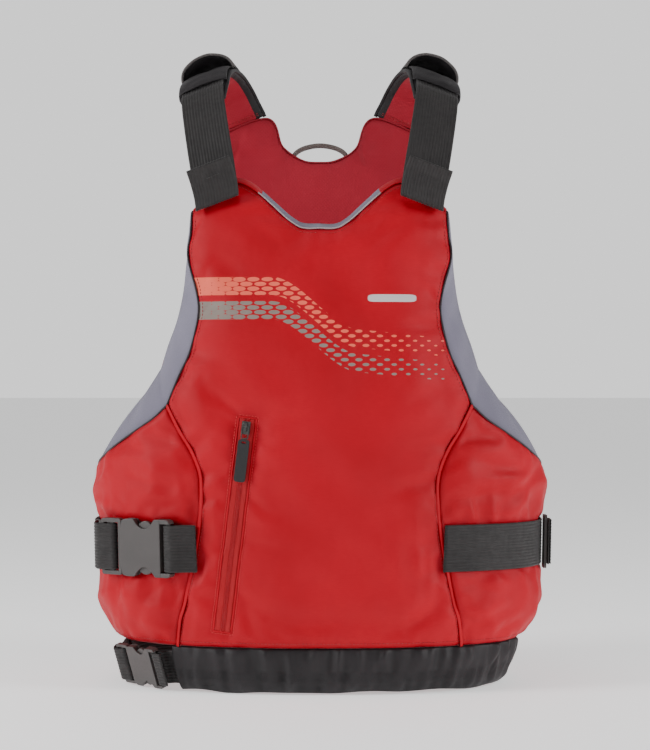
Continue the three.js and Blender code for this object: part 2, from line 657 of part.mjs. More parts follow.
function addBuckle(word, belt) {
  const buckle = new THREE.Group();
  buckle.applyMatrix4(buckleFrame(belt, 0.8));
  buckle.scale.setScalar(belt.width / WAIST.width);
  vest.add(buckle);
  const plastic = { parent: buckle, roughness: 0.5 };
  add(`${word}_buckle_female`, femaleBuckle(), PLASTIC, plastic);
  add(`${word}_buckle_male`, maleBuckle(), PLASTIC, plastic);
  add(`${word}_buckle_prong_upper`, prong(1), PLASTIC, plastic);
  add(`${word}_buckle_prong_lower`, prong(-1), PLASTIC, plastic);
  buckle.updateMatrix();
  return buckle.matrix;
}

// Webbing stations on the body, each with the direction of the webbing's width.
function onBody(from, to, count, z, lift) {
  return Array.from({ length: count + 1 }, (_, k) => {
    const angle = from + (k / Math.max(count, 1)) * (to - from);
    const width = torso(angle, z + 12).sub(torso(angle, z - 12));
    return { point: torso(angle, z, -lift), width };
  });
}

function inBuckle(matrix, spots) {
  const width = new THREE.Vector3(0, 1, 0).transformDirection(matrix);
  return spots.map(([x, z]) => ({ point: new THREE.Vector3(x, 0, z).applyMatrix4(matrix), width }));
}

// Half a turn round a crossbar, as [x, z] in the buckle; it bulges to the side of its sign.
function roundBar(x, sign, downwards) {
  const steps = 5;
  const [low, high] = BAR_LEVELS;
  return Array.from({ length: steps + 1 }, (_, k) => {
    const angle = Math.PI * (k / steps) * (downwards ? 1 : -1) + (downwards ? 0 : Math.PI);
    return [x + sign * 4.6 * Math.sin(angle), (low + high) / 2 + 4 * Math.cos(angle)];
  });
}

function webbing(stations, size) {
  return ribbon(stations.map(({ point }) => point), stations.map(({ width }) => width), size);
}

function addWaistBelt() {
  const { z, width } = WAIST;
  const matrix = addBuckle('waist', WAIST);
  const seam = -angleAt(132.5, z);
  const first = WEBBING / 2 + BELT_CLEARANCE;     // the layer that lies on the cover
  const second = first + WEBBING + CLEARANCE;     // the layer that lies on the first
  add('waist_webbing_front', webbing([
    ...onBody(seam, seam, 0, z, second), ...inBuckle(matrix, [[46, 2.5], [34, 9.4]]),
    ...inBuckle(matrix, roundBar(28, -1, true)),
    ...inBuckle(matrix, [[34, 1.1], [46, -3.6]]), ...onBody(seam, seam, 0, z, first),
  ], width), WEBBING_GREY);
  add('waist_webbing_side', webbing([
    ...onBody(radians(-97), radians(-84), 5, z, second), ...inBuckle(matrix, [[-64, -8]]),
    ...inBuckle(matrix, roundBar(-46, 1, false)),
    ...inBuckle(matrix, [[-61, 10.9], [-70, 5], [-78, -6], [-83, -18]]),
  ], width), WEBBING_GREY);
  add('waist_webbing_back', webbing(
    onBody(angleAt(134, z), radians(360 - 88), 44, z, first), width), WEBBING_GREY);
  addSideAdjuster(z, second);
}

// The adjuster at the wearer's left, with the belt's spare end folded over it.
function addSideAdjuster(z, lift) {
  const frame = new THREE.Group();
  const angle = radians(SIDE_ADJUSTER);
  const up = torso(angle, z + 15).sub(torso(angle, z - 15)).normalize();
  const out = new THREE.Vector3(0, -1, 0).cross(up).negate().normalize();
  frame.applyMatrix4(new THREE.Matrix4().makeBasis(up.clone().cross(out), up, out)
    .setPosition(torso(angle, z, -lift)));
  vest.add(frame);
  const outline = roundedRectangle([-12, 12], [-30, 30], 3);
  for (const x of [[-9, -2], [2, 9]]) outline.holes.push(roundedRectangle(x, [-26.5, 26.5], 1));
  add('side_adjuster', plate(outline, 0, 3, 1), PLASTIC, { parent: frame, roughness: 0.5 });
  add('side_adjuster_webbing', block([-17, 15], [-WAIST.width / 2, WAIST.width / 2], [3.4, 5.6]),
    WEBBING_GREY, { parent: frame });
}

// A flat fabric tunnel, open at both ends, that the lower belt runs through.
function waistband(from, to, columns) {
  const layer = (start, finish, [low, high], depth) => (u, v) => torso(
    start + u * (finish - start), low + v * (high - low), depth);
  const height = [0, HEM - CLEARANCE];
  const inside = [2, HEM - 2.4];
  return cut(
    slab(columns, 2, layer(from, to, height, 0), layer(from, to, height, TUNNEL_DEPTH)),
    slab(columns, 2, layer(from - 0.05, to + 0.05, inside, 1.4),
      layer(from - 0.05, to + 0.05, inside, TUNNEL_DEPTH - 1.4)),
  );
}

function addLowerBelt() {
  const { z, width } = LOWER;
  const matrix = addBuckle('lower', LOWER);
  add('front_waistband', waistband(-angleAt(156, z), radians(84), 24), BLACK);
  add('back_waistband', waistband(angleAt(150, z, 0, true), 2 * Math.PI - angleAt(150, z, 0, true),
    14), BLACK);
  const inTunnel = -TUNNEL_DEPTH / 2;
  add('lower_webbing_body', webbing([
    ...inBuckle(matrix, [[44, 9.2], ...roundBar(28, -1, true), [36, 0.9]]),
    ...onBody(-angleAt(164, z), radians(266), 52, z, inTunnel),
  ], width), WEBBING_GREY);
  add('lower_webbing_side', webbing([
    ...onBody(radians(-98), radians(-86), 4, z, inTunnel + WEBBING + CLEARANCE),
    ...inBuckle(matrix, [[-62, -5]]),
    ...inBuckle(matrix, roundBar(-46, 1, false)),
    ...inBuckle(matrix, [[-60, 11], [-68, 6], [-73, -2]]),
  ], width), WEBBING_GREY);
}

addFront();
addBack();
addZip();
addShoulder('left', 1);
addShoulder('right', -1);
addHaulLoop();
addWaistBelt();
addLowerBelt();

export default part;
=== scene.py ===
"""The looks of a foam-filled paddling life jacket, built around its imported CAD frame.

Shapes are worked out in millimetres and turned into metres by world(). +X is the wearer's left, -Y the front.
"""

import math

import bmesh
import bpy
import numpy as np
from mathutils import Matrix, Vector
from mathutils.bvhtree import BVHTree

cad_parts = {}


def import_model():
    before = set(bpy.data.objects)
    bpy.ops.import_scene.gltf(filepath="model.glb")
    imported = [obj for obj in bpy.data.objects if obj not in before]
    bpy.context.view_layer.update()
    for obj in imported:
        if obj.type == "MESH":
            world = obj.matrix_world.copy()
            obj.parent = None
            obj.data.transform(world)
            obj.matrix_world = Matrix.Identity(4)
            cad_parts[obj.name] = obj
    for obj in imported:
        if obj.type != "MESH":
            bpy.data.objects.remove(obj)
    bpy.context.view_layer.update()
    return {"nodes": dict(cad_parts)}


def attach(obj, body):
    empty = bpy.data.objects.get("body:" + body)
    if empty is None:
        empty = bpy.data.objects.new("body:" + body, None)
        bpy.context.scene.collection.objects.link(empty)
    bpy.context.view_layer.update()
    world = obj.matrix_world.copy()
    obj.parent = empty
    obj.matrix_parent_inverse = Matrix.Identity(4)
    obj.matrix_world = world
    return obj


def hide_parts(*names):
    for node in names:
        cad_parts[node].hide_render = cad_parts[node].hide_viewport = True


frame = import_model()

MM = 0.001
BOX_CENTRE = 9.75                 # from the body's own middle to the frame's, front to back
ROUNDNESS = 2.4
HEM = 50
FRONT_SIDE = math.radians(94.6)
BACK_SIDE = math.radians(95.4)
UNDERARM_SIDE = 240
INNER_UNDERARM_SIDE = 308
SEAM_SHARE = 8 / 14               # the share of the chest's side that is the princess seam
BACK_SIDE_SHARE = 4 / 12
SIDES = (("right", -1), ("left", 1))
HALVINGS = 30                     # steps of the search in angle_at

PRINCESS_SEAM = [(155, 50), (152, 78), (146, 99), (139, 132), (133.5, 161), (128.5, 199), (128.5, 234),
                 (136.5, 259), (152, 285), (166, 312)]
INNER_SEAM = [(150, 50), (140, 120), (130, 200), (135, 260), (156, 308), (176, 352)]
ARMHOLE = [(166, 312), (152, 345), (140.5, 370), (131.5, 408), (133, 433), (143.5, 473), (141, 498), (140, 523)]
INNER_ARMHOLE = [(176, 352), (168, 378), (158, 405), (151, 436), (147, 470), (142, 500), (138, 529)]
NECK = [(0, 504), (17, 504), (32, 512), (88.7, 555), (140, 523)]
INNER_NECK = [(0, 511), (17, 511), (32, 519), (88, 562), (138, 529)]
UNDERARM = [(166, 312), (181, 298), (202, 284), (224, 269), (242, 255)]
INNER_UNDERARM = [(176, 352), (188, 334), (199, 319)]
BACK_ARMHOLE = [(238, 254), (190, 292), (152, 330), (138, 380), (133, 440), (137, 500), (142, 560), (134, 624)]
BACK_NECK = [(0, 598), (20, 600), (45, 616), (64.5, 650), (134, 624)]

WEBBING = 2.2
WAIST = dict(z=157.5, width=50.8, buckle_x=184)
LOWER = dict(z=25.5, width=38, buckle_x=187)
BAR_LEVELS = (3.8, 7.2)
BELT_CLEARANCE = 1.4
CLEARANCE = 0.4
TUNNEL_DEPTH = 7
SIDE_ADJUSTER = math.radians(84)
ZIP_TOP = (-77, 299)
ZIP_BOTTOM = (-105, 68)
ZIP_WIDTH = 19
HAUL_Y = 114.5
HAUL_LOOP = [(-33.5, 601), (-32.5, 605), (-28, 611), (-20, 615.5), (-10, 618.2), (0, 619.2)]
SHOULDER_LEAN = math.radians(21)
SHOULDER_WIDTH = 50
PAD_LINE = [(102.5, 110, 646.5), (107, 106, 658), (113, 95, 673), (121, 68, 686), (128, 32, 690), (132, 2, 684.5),
            (132, -27, 669), (129, -42, 652)]
STRAP_LINE = [(132, -43, 662), (129.5, -62, 643), (122.5, -93, 602), (116.5, -106.5, 568), (112.5, -114.4, 543),
              (111.5, -116.6, 535.5)]
FOLD_RADIUS = 3.2
STRAP_TAIL = [(112.8, -124.4, 545), (116.5, -128, 560), (121, -133, 574)]


# ---------------------------------------------------------------- shapes as functions

def together(*values):
    return np.broadcast_arrays(*(np.asarray(value, float) for value in values))


def unit(v):
    v = np.asarray(v, float)
    return v / np.maximum(np.linalg.norm(v, axis=-1, keepdims=True), 1e-12)


def run_of(points):
    """The distance along a line of points, at each of them."""
    return np.concatenate([[0], np.cumsum(np.linalg.norm(np.diff(points, axis=0), axis=1))])


def hermite(t, start, finish, leaving, arriving):
    """The cubic curve from start to finish that leaves and arrives at these speeds."""
    return ((1 + 2 * t) * (1 - t) ** 2 * start + t * (1 - t) ** 2 * leaving
            + t * t * (3 - 2 * t) * finish + t * t * (t - 1) * arriving)


def slopes(xs, ys):
    """The slope at each entry, from the entries on either side of it."""
    before, after = np.maximum(np.arange(len(xs)) - 1, 0), np.minimum(np.arange(len(xs)) + 1, len(xs) - 1)
    return ((ys[after] - ys[before]).T / (xs[after] - xs[before])).T


def through(pairs):
    """A smooth function of one number through (input, value) pairs."""
    xs, ys = np.array(pairs, float).T
    slope = slopes(xs, ys)

    def value(x):
        x = np.clip(x, xs[0], xs[-1])
        i = np.searchsorted(xs[1:-1], x, side="left")
        span = xs[i + 1] - xs[i]
        return hermite((x - xs[i]) / span, ys[i], ys[i + 1], span * slope[i], span * slope[i + 1])
    return value


half_width = through([(0, 206), (60, 231), (104, 248), (157, 249), (230, 252), (300, 250), (450, 240), (650, 222)])
front_depth = through([(0, 138), (60, 147), (157, 152), (250, 157), (340, 157), (430, 147), (500, 130), (560, 112)])
back_depth = through([(0, 118), (60, 128), (157, 132), (300, 142), (450, 142), (560, 132), (650, 116)])
front_thickness = through([(50, 34), (157, 36), (300, 42), (450, 40), (560, 22)])
back_thickness = through([(50, 32), (157, 34), (300, 38), (500, 34), (600, 22), (650, 14)])
pad_width = through([(0, 74), (0.3, 68), (0.5, 65), (0.85, 57), (1, 44)])


def torso(angle, z, depth=0.0):
    """Points of the body's surface; the angle is 0 at the front and grows to the wearer's left."""
    angle, z, depth = together(angle, z, depth)
    a = half_width(z)
    b = np.where(np.cos(angle) > 0, front_depth(z), back_depth(z))
    sine, cosine = np.sin(angle), np.cos(angle)
    radius = (np.abs(sine / a) ** ROUNDNESS + np.abs(cosine / b) ** ROUNDNESS) ** (-1 / ROUNDNESS)
    x, y = radius * sine, -radius * cosine
    nx = np.sign(x) * np.abs(x) ** (ROUNDNESS - 1) / a ** ROUNDNESS
    ny = np.sign(y) * np.abs(y) ** (ROUNDNESS - 1) / b ** ROUNDNESS
    size = np.hypot(nx, ny)
    return np.stack([x - depth * nx / size, y - depth * ny / size, z], -1)


def angle_at(x, z, depth=0.0, back=False):
    """The angle at which the surface, at this depth, stands x from the middle."""
    x, z, depth = together(x, z, depth)
    low, high = np.zeros(x.shape), np.full(x.shape, math.pi / 2)
    for _ in range(HALVINGS):
        middle = (low + high) / 2
        short = torso(math.pi - middle if back else middle, z, depth)[..., 0] < np.abs(x)
        low, high = np.where(short, middle, low), np.where(short, high, middle)
    return np.where(x < 0, -1, 1) * (math.pi - low if back else low)


def outline(points, samples=600):
    """A Catmull-Rom curve through points, as a function of the share of its length."""
    pts = np.array(points, float)
    last = len(pts) - 1
    p = np.linspace(0, last, samples)
    i = np.minimum(p.astype(int), last - 1)
    a, b, c, d = (pts[np.clip(i + k, 0, last)] for k in (-1, 0, 1, 2))
    curve = hermite((p - i)[:, None], b, c, (c - a) / 2, (d - b) / 2)
    run = run_of(curve)
    return lambda t: np.stack([np.interp(np.clip(t, 0, 1) * run[-1], run, column) for column in curve.T], -1)


# Each edge of a panel is a function from shares of its length to (angle, z).

def edge(points, depth_at, back=False):
    curve = outline(points)

    def spot(t):
        x, z = curve(np.asarray(t, float)).T
        return np.stack([angle_at(x, z, depth_at(z), back), z], -1)
    return spot


def chain(first, second, share):
    def spot(t):
        t = np.asarray(t, float)
        return np.where((t < share)[:, None], first(np.clip(t / share, 0, 1)),
                        second(np.clip((t - share) / (1 - share), 0, 1)))
    return spot


def flipped(curve):
    return lambda t: curve(t) * [-1, 1]


def behind(curve):
    """The same edge on the other side of the back."""
    return lambda t: [2 * math.pi, 0] + curve(t) * [-1, 1]


def mirrored(curve):
    def spot(t):
        t = np.asarray(t, float)
        return curve(np.abs(2 * t - 1)) * np.stack([np.sign(2 * t - 1), np.ones_like(t)], -1)
    return spot


def straight(start, finish):
    start, finish = np.array(start, float), np.array(finish, float)
    return lambda t: start + np.asarray(t, float)[..., None] * (finish - start)


def coons(bottom, top, left, right):
    """A map of (u values, v values) to a grid of (angle, z) between four edges."""
    def grid(us, vs):
        b, t, l, r = bottom(us), top(us), left(vs), right(vs)
        ends = np.array([0.0, 1.0])
        (l0, l1), (r0, r1) = left(ends), right(ends)
        u, v = us[None, :, None], vs[:, None, None]
        return ((1 - v) * b[None] + v * t[None] + (1 - u) * l[:, None] + u * r[:, None]
                - (1 - u) * (1 - v) * l0 - u * (1 - v) * r0 - (1 - u) * v * l1 - u * v * r1)
    return grid


def on_face(z):
    return np.zeros(np.shape(z))


def chest_plan(seam, armhole, neck, depth_at):
    side = chain(edge(seam, depth_at), edge(armhole, depth_at), SEAM_SHARE)
    corner = float(side(np.array([0.0]))[0, 0])
    return coons(straight((-corner, HEM), (corner, HEM)), mirrored(edge(neck, depth_at)), flipped(side), side)


def wing_plan(side, seam_points, underarm, side_height, depth_at, underarm_share=0.75, inset=math.radians(0.15)):
    """The inset keeps the wing clear of the chest at their seam."""
    seam, under = edge(seam_points, depth_at), edge(underarm, depth_at)
    last, last_z = under(np.array([1.0]))[0]

    def rest(t):
        rise = np.sin(t * math.pi / 2) * (side_height - last_z)
        return np.stack([last + t * (FRONT_SIDE - last), last_z + rise], -1)
    start = float(seam(np.array([0.0]))[0, 0])
    plan = coons(straight((start, HEM), (FRONT_SIDE, HEM)), chain(under, rest, underarm_share), seam,
                 straight((FRONT_SIDE, HEM), (FRONT_SIDE, side_height)))

    def grid(us, vs):
        spots = plan(us, vs)
        spots[..., 0] = side * (spots[..., 0] + inset * (1 - us[None, :]))
        return spots
    return grid


def back_plan():
    side = chain(straight((BACK_SIDE, HEM), (BACK_SIDE, UNDERARM_SIDE)), edge(BACK_ARMHOLE, on_face, True),
                 BACK_SIDE_SHARE)
    neck = edge(BACK_NECK, on_face, True)

    def around(t):
        share = np.abs(1 - 2 * t)
        return np.where((t < 0.5)[:, None], neck(share), behind(neck)(share))
    return coons(straight((BACK_SIDE, HEM), (2 * math.pi - BACK_SIDE, HEM)), around, side, behind(side))


CHEST_OUTER = chest_plan(PRINCESS_SEAM, ARMHOLE, NECK, on_face)
CHEST_INNER = chest_plan(INNER_SEAM, INNER_ARMHOLE, INNER_NECK, front_thickness)
BACK_OUTER = back_plan()
WING_OUTER = {s: wing_plan(s, PRINCESS_SEAM, UNDERARM, UNDERARM_SIDE, on_face) for s in (1, -1)}
WING_INNER = {s: wing_plan(s, INNER_SEAM, INNER_UNDERARM, INNER_UNDERARM_SIDE, front_thickness) for s in (1, -1)}


def zip_spot(along, across=0.0):
    """A point of the zip as (x, z): along runs from its top, 0, to its bottom, 1."""
    along, across = together(along, across)
    dx, dz = ZIP_BOTTOM[0] - ZIP_TOP[0], ZIP_BOTTOM[1] - ZIP_TOP[1]
    lean = -dx / math.hypot(dx, dz)
    return ZIP_TOP[0] + along * dx + across * math.sqrt(1 - lean ** 2), ZIP_TOP[1] + along * dz - across * lean


def waves(points, length, seed, count=14, stretch=(1, 1, 1)):
    """Smooth seeded noise of about this wavelength, from -1 to 1 or so."""
    rng = np.random.default_rng(seed)
    directions = unit(rng.normal(size=(count, 3))) / np.array(stretch)
    speeds = rng.uniform(0.7, 1.4, count) * 2 * math.pi / length
    phases = rng.uniform(0, 2 * math.pi, count)
    angles = (points @ directions.T) * speeds + phases
    return np.sin(angles).sum(-1) * math.sqrt(2 / count) * 0.7


def folds(points, length, seed, stretch):
    """Cloth folds: soft between them, sharper where the cloth is drawn in."""
    wave = waves(points, length, seed, stretch=stretch)
    return 1 - 2 * np.abs(np.tanh(wave * 1.3)) ** 1.4 - 0.1 * wave


# ---------------------------------------------------------------- meshes

def world(points):
    return (np.asarray(points, float) + [0, BOX_CENTRE, 0]) * MM


def piece(name, points, faces, materials, body, indices=None, uv=None, shade_marks=None, slot=None, replaced=()):
    """A mesh object from points in millimetres. uv is in metres, and the shade marks are a number for each point:
    painted shade, 0 to 1, kept in the seam attribute.
    """
    mesh = bpy.data.meshes.new(name)
    mesh.from_pydata(world(points).tolist(), [], [tuple(int(i) for i in f) for f in faces])
    for material in materials:
        mesh.materials.append(material)
    if indices is not None:
        mesh.polygons.foreach_set("material_index", np.asarray(indices, np.int32))
    loops = np.zeros(len(mesh.loops), np.int32)
    mesh.loops.foreach_get("vertex_index", loops)
    plan = np.asarray(uv if uv is not None else np.asarray(points)[:, [0, 2]] * MM, np.float32)
    mesh.uv_layers.new(name="cloth").data.foreach_set("uv", plan[loops].ravel())
    # The seam attribute carries painted shade for the cloth materials to darken by.
    attribute = mesh.attributes.new("seam", "FLOAT", "POINT")
    shade_marks = shade_marks if shade_marks is not None else np.zeros(len(points))
    attribute.data.foreach_set("value", np.asarray(shade_marks, np.float32))
    mesh.polygons.foreach_set("use_smooth", [True] * len(mesh.polygons))
    bm = bmesh.new()
    bm.from_mesh(mesh)
    bmesh.ops.recalc_face_normals(bm, faces=bm.faces)
    bm.to_mesh(mesh)
    bm.free()
    mesh.update()
    obj = bpy.data.objects.new(name, mesh)
    bpy.context.scene.collection.objects.link(obj)
    if body:
        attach(obj, body)
    if replaced:
        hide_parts(*replaced)
    return obj


def modify(obj, kind, name, **settings):
    modifier = obj.modifiers.new(name, kind)
    for key, value in settings.items():
        setattr(modifier, key, value)


def rounded(obj):
    modify(obj, "SUBSURF", "smooth", levels=1, render_levels=1)


def softened(obj, width, segments, degrees, shaded=True):
    """Rounds the edges sharper than this angle, by this many metres."""
    modify(obj, "BEVEL", "rounding", width=width, segments=segments, limit_method="ANGLE",
           angle_limit=math.radians(degrees))
    if shaded:
        modify(obj, "WEIGHTED_NORMAL", "shading", keep_sharp=True)


def refinished(name, material, width, segments, degrees, shaded=False):
    """A CAD node that stays, with a better material and softer edges."""
    node = frame["nodes"][name]
    node.data.materials.clear()
    node.data.materials.append(material)
    if shaded:
        node.data.polygons.foreach_set("use_smooth", [True] * len(node.data.polygons))
    softened(node, width, segments, degrees, shaded)


def grid_faces(columns, rows, start=0):
    i, j = np.meshgrid(np.arange(columns), np.arange(rows))
    a = start + j * (columns + 1) + i
    return np.stack([a, a + 1, a + columns + 2, a + columns + 1], -1).reshape(-1, 4)


def loft(rings, capped=True):
    """Points and faces of rings of points, given as (stations, points, 3)."""
    stations, sides = rings.shape[:2]
    k, i = np.meshgrid(np.arange(stations - 1), np.arange(sides), indexing="ij")
    turned = (i + 1) % sides
    faces = np.stack([k * sides + i, k * sides + turned, (k + 1) * sides + turned, (k + 1) * sides + i],
                     -1).reshape(-1, 4).tolist()
    if capped:
        faces += [list(range(sides))[::-1], [(stations - 1) * sides + n for n in range(sides)]]
    return rings.reshape(-1, 3), faces


def joined(parts):
    """Several sets of points and faces as one."""
    points, faces = [], []
    for more, sides in parts:
        faces += [[i + len(points) for i in face] for face in sides]
        points += list(more)
    return np.array(points), faces


def circle(sides):
    """The cosines and sines of a ring's points."""
    turn = np.linspace(0, 2 * math.pi, sides, endpoint=False)
    return np.cos(turn), np.sin(turn)


def swept(points, across, up, wide, high):
    """Rings round the points of a line, from how far across and how far up each of their points is."""
    points, across, up = (np.expand_dims(v, -2) for v in (points, across, up))
    return points + across * wide[..., None] + up * high[..., None]


def ring_uv(rings):
    along, around = run_of(rings.mean(1)), run_of(rings[0])
    return np.stack(np.broadcast_arrays(along[:, None], around[None, :]), -1).reshape(-1, 2) * MM


def lofted(name, rings, material, body="jacket", slot=None, replaced=()):
    points, faces = loft(rings)
    return piece(name, points, faces, [material], body, uv=ring_uv(rings), slot=slot, replaced=replaced)


def fine_path(stations, step):
    """The path resampled by a smooth curve, about this far apart. Stations may have any number of columns."""
    stations = np.asarray(stations, float)
    run = run_of(stations[:, :3])
    keep = np.concatenate([[True], np.diff(run) > 1e-6])
    stations, run = stations[keep], run[keep]
    slope = slopes(run, stations)
    s = np.linspace(0, run[-1], max(int(run[-1] / step), 2) + 1)
    i = np.clip(np.searchsorted(run, s, side="right") - 1, 0, len(run) - 2)
    span = (run[i + 1] - run[i])[:, None]
    return hermite((s - run[i])[:, None] / span, stations[i], stations[i + 1], span * slope[i], span * slope[i + 1])


def frames(path):
    """Points, across and up directions along a path whose columns are a point and the direction of the width."""
    points, across = path[:, :3], unit(path[:, 3:6])
    return points, across, unit(np.cross(np.gradient(points, axis=0), across))


def tube(name, points, radius, material, slot, sides=8, step=3.0):
    path = fine_path(points, step)
    ahead = np.gradient(path, axis=0)
    across = unit(np.cross(ahead, [0.31, 0.17, 0.93]))    # any direction that the paths never run in
    up = unit(np.cross(across, ahead))
    wide, high = radius * np.array(circle(sides))
    return lofted(name, swept(path, across, up, wide, high), material, slot=slot)


# A stitch's rings: their share of its length, their size and how far they stand out.
STITCH = np.array([(0, 0.35, -0.4), (0.2, 0.9, 0.25), (0.5, 1, 0.45), (0.8, 0.9, 0.25), (1, 0.35, -0.4)])
STITCH_WIDTH = 1.25               # for each unit of its height


def stitches(name, lines, material, slot, length=2.7, gap=1.3, radius=0.34):
    """Rows of thread stitches. Each line is points with their outward directions, as six columns."""
    parts = []
    share, size, lift = STITCH.T[..., None]
    wide, high = (radius * size * wave for wave in circle(5))
    for line in lines:
        path = fine_path(line, 0.5)
        run = run_of(path[:, :3])
        for s in np.arange(0.6, run[-1] - length, length + gap):
            start, finish = (np.array([np.interp(q, run, column) for column in path.T]) for q in (s, s + length))
            way, out = finish[:3] - start[:3], unit(start[3:])
            side = unit(np.cross(unit(way), out))
            centres = start[:3] + way * share + out * lift * radius
            parts.append(loft(swept(centres, side, out, wide * STITCH_WIDTH, high)))
    points, faces = joined(parts)
    return piece(name, points, faces, [material], "jacket", slot=slot)


# ---------------------------------------------------------------- materials

def linear(r, g, b):
    """A colour given as 0 to 255 on screen, as the light that a shader takes."""
    shares = (r / 255, g / 255, b / 255)
    return tuple(c / 12.92 if c <= 0.04045 else ((c + 0.055) / 1.055) ** 2.4 for c in shares) + (1,)


def darker(colour, share):
    return linear(*(min(c * share, 255) for c in colour))


def operator(operation):
    return lambda self, *others: self.finish.math(operation, self, *others)


class Value:
    """A number or colour that a material works out at each point, for use in sums."""
    __add__, __sub__, __mul__ = operator("ADD"), operator("SUBTRACT"), operator("MULTIPLY")
    __truediv__, __pow__, __abs__ = operator("DIVIDE"), operator("POWER"), operator("ABSOLUTE")

    def __init__(self, finish, socket):
        self.finish, self.socket = finish, socket

    def __rsub__(self, other):
        return self.finish.math("SUBTRACT", other, self)


class Finish:
    """A material and the few node shapes that all of them use."""

    def __init__(self, name, roughness=0.7, sheen=0.0, specular=0.5, metallic=0.0, coat=0.0):
        self.material = bpy.data.materials.new(name)
        self.material.use_nodes = True
        self.tree = self.material.node_tree
        self.tree.nodes.clear()
        self.shader = self.tree.nodes.new("ShaderNodeBsdfPrincipled")
        for key, value in (("Roughness", roughness), ("Sheen Weight", sheen), ("Sheen Roughness", 0.45),
                           ("Specular IOR Level", specular), ("Metallic", metallic), ("Coat Weight", coat)):
            self.set(key, value)
        self.add("OutputMaterial", {"Surface": self.shader.outputs["BSDF"]}, out=None)
        self.place = self.add("TexCoord", out="Object")
        self.x, self.y, self.z = self.parts(self.place)
        self.u, self.v, _ = self.parts(self.add("UVMap", uv_map="cloth"))

    def put(self, socket, value):
        value = getattr(value, "socket", value)
        if isinstance(value, bpy.types.NodeSocket):
            self.tree.links.new(value, socket)
        else:
            socket.default_value = value

    def set(self, name, value):
        self.put(self.shader.inputs[name], value)

    def add(self, kind, inputs=(), out=0, **settings):
        """A new node with these inputs and settings, as the Value of one of its outputs."""
        node = self.tree.nodes.new("ShaderNode" + kind)
        for key, value in settings.items():
            setattr(node, key, value)
        for key, value in dict(inputs).items():
            self.put(node.inputs[key], value)
        return None if out is None else Value(self, node.outputs[out])

    def parts(self, vector):
        node = self.tree.nodes.new("ShaderNodeSeparateXYZ")
        self.put(node.inputs[0], vector)
        return [Value(self, socket) for socket in node.outputs]

    def math(self, operation, *values, clamp=False):
        return self.add("Math", enumerate(values), operation=operation, use_clamp=clamp)

    def soft(self, gap, slope):
        """0 to 1, rising over a short distance where the gap is above 0."""
        return self.math("MULTIPLY", gap, slope, clamp=True)

    def noise(self, scale, detail=3.0, stretch=None, roughness=0.55):
        place = self.add("Mapping", {"Vector": self.place, "Scale": stretch}) if stretch else self.place
        return self.add("TexNoise", {"Vector": place, "Scale": scale, "Detail": detail, "Roughness": roughness})

    def mix(self, share, first, second):
        return self.add("Mix", {0: share, 6: first, 7: second}, out=2, data_type="RGBA")

    def span(self, value, low, high, to_low=0.0, to_high=1.0):
        return self.add("MapRange", enumerate((value, low, high, to_low, to_high)))

    def blotches(self, scale, detail, first, second, low=0.3, high=0.7):
        """Soft patches between two colours."""
        return self.mix(self.span(self.noise(scale, detail), low, high), linear(*first), linear(*second))

    def weave(self, pitch, twill=False):
        """The height of a weave, 0 to 1, with threads this far apart in metres."""
        u, v = self.u * (2 * math.pi / pitch), self.v * (2 * math.pi / pitch)
        wave = self.math("SINE", u + v) if twill else self.math("SINE", u) * self.math("SINE", v)
        return self.math("MULTIPLY_ADD", wave, 0.5, 0.5)

    def rough(self, scale, detail, low, high):
        """Roughness in patches, from low to high."""
        self.set("Roughness", self.span(self.noise(scale, detail), 0.3, 0.7, low, high))

    def bump(self, *heights):
        """Bumps from pairs of a height and its depth in metres."""
        normal = {}
        for height, distance in heights:
            normal = {"Normal": self.add("Bump", {"Distance": distance, "Strength": 1.0, "Height": height, **normal})}
        self.set("Normal", normal["Normal"])


def cloth_finish(name, dark, light, pitch=0.0011, depth=0.00006, roughness=0.72, sheen=0.12, twill=False,
                 wrinkle=0.0005, seam_shade=0.35, prints=None, specular=0.4):
    made = Finish(name, roughness, sheen, specular)
    slub = made.noise(420, 2, (0.35, 0.35, 2.2))
    weave = made.weave(pitch, twill)
    seam = made.add("Attribute", out="Fac", attribute_name="seam")
    base = made.blotches(7, 4, dark, light)
    base = made.mix(made.span(slub, 0.35, 0.7, 0.0, 0.22), base, linear(*dark))
    base = made.mix(made.span(weave, 0.0, 0.5, 0.16, 0.0), base, darker(dark, 0.7))
    # Painted shade: the cloth is darkened where the mesh's seam attribute marks seams, walls, edges and fold hollows.
    base = made.mix(seam * seam_shade, base, darker(dark, 0.62))
    made.set("Base Color", prints(made, base) if prints else base)
    made.rough(60, 3, roughness - 0.06, roughness + 0.06)
    made.bump((made.noise(26, 5, roughness=0.6), wrinkle), (slub, 0.00008), (weave, depth))
    return made.material


ROW, COLUMN = 0.0051, 0.0151      # the spacing of the printed dots
FIRST_DOT = (-0.0484, 0.4429)
STRIPE_HALF = 0.0099
STRIPES = ((0.0, (250, 108, 86)), (-0.02625, (136, 130, 122)))     # how far from the middle's height, and the colour
STRIPE_END = 0.139
BAR_MIDDLE, BAR_HALF = (0.078, 0.4275), (0.0265, 0.0042)


def stripe_height(made):
    """The height of the stripes' middle: level, a soft drop to the left of the chest, nearly level again."""
    t = made.span(made.x, -0.052, 0.044)
    eased = (t * t) * (3.0 - t * 2.0)
    return made.math("MULTIPLY_ADD", eased, -0.057, 0.44075) + made.span(made.x, 0.045, 0.135, 0.0, -0.009)


def to_nearest(made, value, start, pitch):
    """How far a value is from the nearest of evenly spaced ones."""
    steps = (value - start) / pitch
    return (steps - made.math("ROUND", steps)) * pitch


def oval(made, across, up, powers=(2.0, 2.0)):
    """1 inside an oval and 0 outside it, from its own coordinates."""
    return made.soft(1.0 - (abs(across) ** powers[0] + abs(up) ** powers[1]), 4.0)


